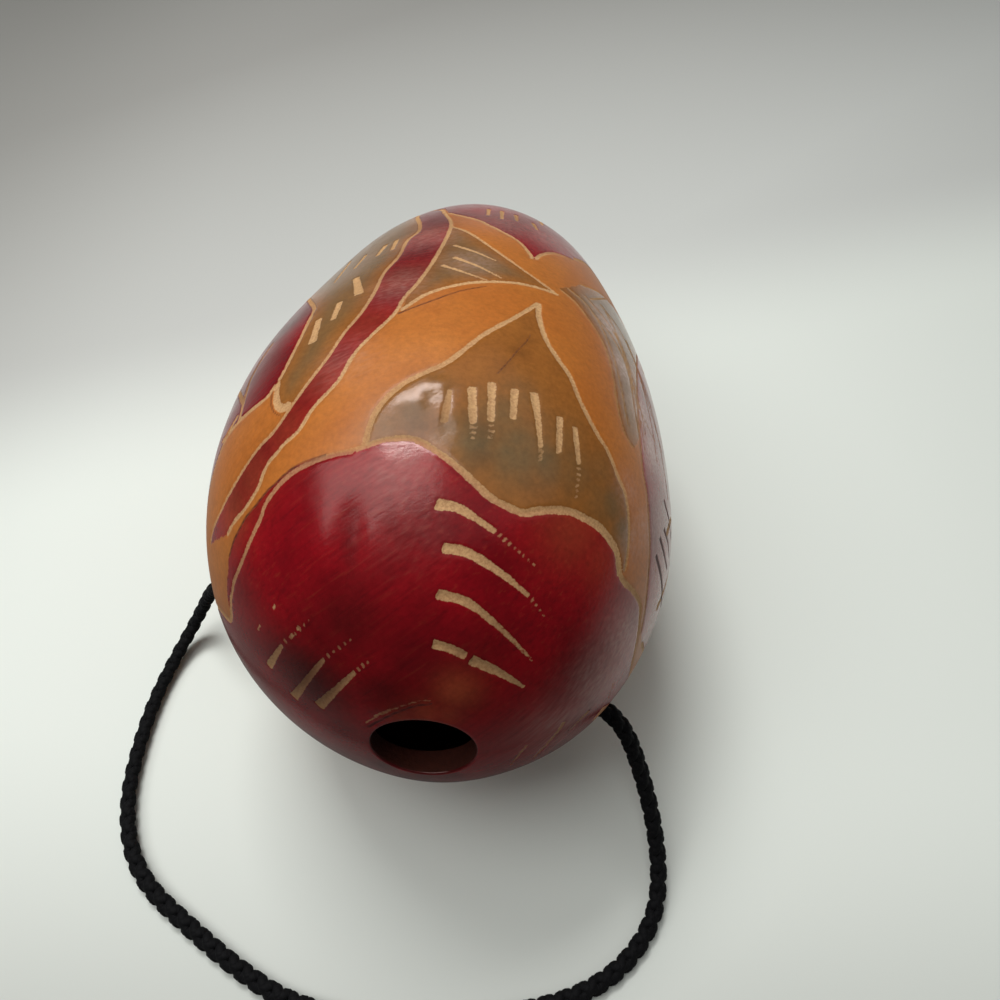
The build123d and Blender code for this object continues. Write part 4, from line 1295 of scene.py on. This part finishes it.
def stem_scar(shell, edge, turn):
    """Rings of the ridged stem scar, which sinks in from the skin's last ring, and its middle."""
    end = shell.belly - shell.lengths[1] * shell.ahead
    aside = edge - end
    aside = aside - (aside @ shell.ahead)[:, None] * shell.ahead
    ridge_height, ridge_count, ridge_turn = 0.12 * MM, 9, 0.7
    ridges = ridge_height * np.cos(ridge_count * turn + ridge_turn)
    least_depth, middle_depth = 0.6 * MM, 1.5 * MM
    rings = []
    for share, sunk in ((0.93, 0.3), (0.82, 0.9), (0.6, 1.1), (0.35, 1.2), (0.15, 1.0)):
        level = end + (sunk * MM + ridges)[:, None] * shell.ahead
        rings.append(level + least_depth * shell.ahead + share * aside)
    return rings, end + middle_depth * shell.ahead


def mouth_rim(edge, mouth, mouth_axis, rim_round):
    """Rings of the mouth's rounded rim, from the bore to the skin's first ring."""
    towards = mouth - edge
    towards = unit(towards - (towards @ mouth_axis)[:, None] * mouth_axis)
    rings = []
    for angle in np.radians((90, 60, 30)):
        rings.append(edge + rim_round * math.sin(angle) * towards
                     - rim_round * (1 - math.cos(angle)) * mouth_axis)
    return rings


def drill(piece, hole, along, radius, materials):
    """Drills a round hole through the shell's wall, with raw flesh on its side."""
    sides = 40
    side = unit(np.cross(along, (0.0, 0.0, 1.0)))
    other = np.cross(along, side)
    turn = np.arange(sides) / sides * 2 * np.pi
    circle = radius * (np.cos(turn)[:, None] * side + np.sin(turn)[:, None] * other)
    reach = 14 * MM
    vertices = np.concatenate([hole - reach * along + circle, hole + reach * along + circle])
    bit = add_object("drill", vertices, tube_faces(2, sides, 0), materials, [FLESH] * (sides + 2))
    cutter = piece.modifiers.new("drill", "BOOLEAN")
    cutter.object = bit
    cutter.operation = "DIFFERENCE"
    cutter.solver = "MANIFOLD"
    depsgraph = bpy.context.evaluated_depsgraph_get()
    drilled = bpy.data.meshes.new_from_object(piece.evaluated_get(depsgraph), depsgraph=depsgraph)
    if len(drilled.polygons) < len(piece.data.polygons) // 2:
        raise RuntimeError("the drill left too little of the shell")
    piece.modifiers.clear()
    plain = piece.data
    piece.data = drilled
    drilled.name = plain.name
    bpy.data.meshes.remove(plain)
    bpy.data.objects.remove(bit)


class GOURD_OT_shell(bpy.types.Operator):
    """Forms the hollow shell, carves it and drills its cord holes"""
    bl_idname = "gourd.shell"
    bl_label = "Carved shell"

    def execute(self, context):
        sizes = context.scene.gourd_shell
        random = np.random.default_rng(CARVING_SEED)
        shell = Shell(sizes)
        columns = sizes.columns
        bore = MOUNTS["mouth"]["dims"]["r_mm"] * MM
        rim_round, scar_lip = 0.4 * MM, 0.4 * MM
        mouth = shell.mouth()
        mouth_axis = unit(mouth - shell.belly)
        scar_edge = sizes.scar_diameter / 2 + scar_lip
        lining_tip, lining_rings = 1.5 * MM, 90
        skin, run = shell.rings(mouth_axis, bore + rim_round, scar_edge, sizes.rings, columns)
        lining, _ = shell.rings(mouth_axis, bore, lining_tip, lining_rings, columns, sizes.wall)

        faces = band_faces(sizes.rings, columns, 0)
        plain = BVHTree.FromPolygons(skin.reshape(-1, 3).tolist(), faces)
        view = PictureView(context.scene.gourd_studio, plain)
        skin = swelled(shell, view, skin, random)

        view.tree = BVHTree.FromPolygons(skin.reshape(-1, 3).tolist(), faces)
        points = skin.reshape(-1, 3)
        turn = np.arange(columns) / columns * 2 * np.pi
        flat = np.stack([run[:, None] * np.sin(turn), run[:, None] * np.cos(turn)], axis=-1).reshape(-1, 2)

        def flat_of(places):
            """Places on the skin, rolled out flat round the mouth."""
            cells = np.array([view.tree.find_nearest(Vector(place))[2] for place in places])
            distance = run[cells // columns] + 0.5 * (run[1] - run[0])
            angle = (cells % columns + 0.5) / columns * 2 * np.pi
            return np.stack([distance * np.sin(angle), distance * np.cos(angle)], axis=-1)

        # How far each point of the skin is from the cuts and from the borders of the dyed fields
        pale_cuts = [(*line, None) for line in FIELD_LINES]
        for strokes, start_bare, end_bare in ((STROKES, 1.0, 0.85), (FAINT_STROKES_AND_HIGHLIGHT, 0.6, 0.4)):
            pale_cuts += [(*stroke[:3], start_bare, end_bare, *stroke[3:]) for stroke in strokes]
        cut, bare = cut_edges(shell, view, pale_cuts, points, random)
        dark_cuts_and_shadows = [(*stroke[:3], 1.0, 1.0, *stroke[3:]) for stroke in DARK_CUTS_AND_SHADOWS]
        dark_cut_and_shadow, _ = cut_edges(shell, view, dark_cuts_and_shadows, points, random)
        crimson = field_distance(shell, view, CRIMSON_FIELDS, FAR_FLOWER, points, flat, flat_of)
        main_leaf = field_distance(shell, view, MAIN_LEAF, None, points, flat, flat_of)
        other_leaves = field_distance(shell, view, OTHER_LEAVES, None, points, flat, flat_of)
        leaf_dye, leaf_fade = 0.7, 7 * MM
        olive = np.maximum(dabs(view, OLIVE_DABS, points), leaf_dye * smooth(other_leaves / leaf_fade))
        cut_slope, dark_slope, dark_depth = 0.5 * MM, 0.4 * MM, 0.5
        depth = np.maximum(smooth(-cut / cut_slope), dark_depth * smooth(-dark_cut_and_shadow / dark_slope))
        depth = (sizes.cut_depth * depth).reshape(skin.shape[:2])
        skin = skin - depth[..., None] * grid_normals(skin, shell.belly)

        # The mesh: lining, wall of the mouth, rim, skin and scar, ring by ring
        rim = mouth_rim(skin[0], mouth, mouth_axis, rim_round)
        wall_steps = 7
        wall = [lining[0] + (rim[0] - lining[0]) * share for share in np.linspace(0, 1, wall_steps)[1:-1]]
        scar_rings, scar_middle = stem_scar(shell, skin[-1], turn)
        inner_pole = shell.belly - (shell.lengths[1] - sizes.wall) * shell.ahead
        rings = list(lining[::-1]) + wall + rim + list(skin) + scar_rings
        vertices = np.concatenate([[inner_pole], *rings, [scar_middle]])
        vertices[:, 2] = np.maximum(vertices[:, 2], 0.0)
        first_skin = len(lining) + len(wall)
        last_skin = first_skin + len(rim) + sizes.rings
        faces = [(0, 1 + (column + 1) % columns, 1 + column) for column in range(columns)]
        faces += band_faces(len(rings), columns, 1)
        tip = len(vertices) - 1
        last = tip - columns
        faces += [(last + column, last + (column + 1) % columns, tip) for column in range(columns)]
        finish = [FLESH] * columns
        for ring in range(len(rings) - 1):
            finish += [FLESH if ring < first_skin else RIND if ring < last_skin else SCAR] * columns
        finish += [SCAR] * columns

        materials = [gourd_skin_material(sizes), gourd_flesh_material(), stem_scar_material()]
        piece = add_object("carved_gourd_shell", vertices, faces, materials, finish)

        # What the rind's material reads at each vertex
        far_mm = 50.0
        # The mouth's rim gets strong painted shade
        rim_shade = 0.8
        start = 1 + (first_skin + len(rim)) * columns
        for name, values, elsewhere in (
            ("cut", cut / MM, far_mm), ("bare", bare, 0.0), ("dark_cut_and_shadow", dark_cut_and_shadow / MM, far_mm),
            ("crimson", crimson / MM, far_mm), ("scuff_and_sheen", dabs(view, SCUFF_AND_SHEEN_DABS, points), 0.0),
            ("leaf", np.maximum(main_leaf, other_leaves) / MM, -far_mm), ("olive_dab", olive, 0.0),
            ("thin_dab", dabs(view, THIN_DABS, points), 0.0),
            ("shade_and_dark_dye", dabs(view, SHADE_AND_DARK_DYE_DABS, points), 0.0),
        ):
            every = np.full(len(vertices), elsewhere)
            on_rim = rim_shade if name == "shade_and_dark_dye" else np.tile(values[:columns], len(rim))
            every[start - len(rim) * columns:start] = on_rim
            every[start:start + len(points)] = values
            set_attribute(piece, name, every)

        for hole in (RIGHT_HOLE, LEFT_HOLE):
            drill(piece, hole, TO_RIGHT, sizes.cord_hole / 2, materials)
        sharp_edge = math.radians(60)
        piece.data.set_sharp_from_angle(angle=sharp_edge)
        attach(piece, "gourd")
        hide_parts("gourd_shell")
        return {"FINISHED"}


class GOURD_PT_panel(bpy.types.Panel):
    """Lists the gourd's pieces and their settings"""
    bl_idname = "GOURD_PT_panel"
    bl_label = "Carved Gourd"
    bl_space_type = "VIEW_3D"
    bl_region_type = "UI"
    bl_category = "Gourd"

    def draw(self, context):
        for operators, settings in (
            ((GOURD_OT_studio,), context.scene.gourd_studio),
            ((GOURD_OT_knots, GOURD_OT_cord), context.scene.gourd_cord),
            ((GOURD_OT_shell,), context.scene.gourd_shell),
        ):
            box = self.layout.box()
            for operator in operators:
                box.operator(operator.bl_idname)
            for name in settings.bl_rna.properties.keys():
                if name not in ("rna_type", "name"):
                    box.prop(settings, name)


CLASSES = (
    GourdShellSettings, GourdCordSettings, GourdStudioSettings,
    GOURD_OT_studio, GOURD_OT_knots, GOURD_OT_cord, GOURD_OT_shell, GOURD_PT_panel,
)


def register():
    """Adds the classes and their settings to Blender."""
    for each in CLASSES:
        bpy.utils.register_class(each)
    bpy.types.Scene.gourd_shell = PointerProperty(type=GourdShellSettings)
    bpy.types.Scene.gourd_cord = PointerProperty(type=GourdCordSettings)
    bpy.types.Scene.gourd_studio = PointerProperty(type=GourdStudioSettings)


def unregister():
    """Takes the classes and their settings out again."""
    del bpy.types.Scene.gourd_studio
    del bpy.types.Scene.gourd_cord
    del bpy.types.Scene.gourd_shell
    for each in reversed(CLASSES):
        bpy.utils.unregister_class(each)


def main():
    """Builds the whole scene."""
    register()
    bpy.ops.gourd.studio()
    bpy.ops.gourd.knots()
    bpy.ops.gourd.cord()
    bpy.ops.gourd.shell()


if __name__ == "__main__":
    main()
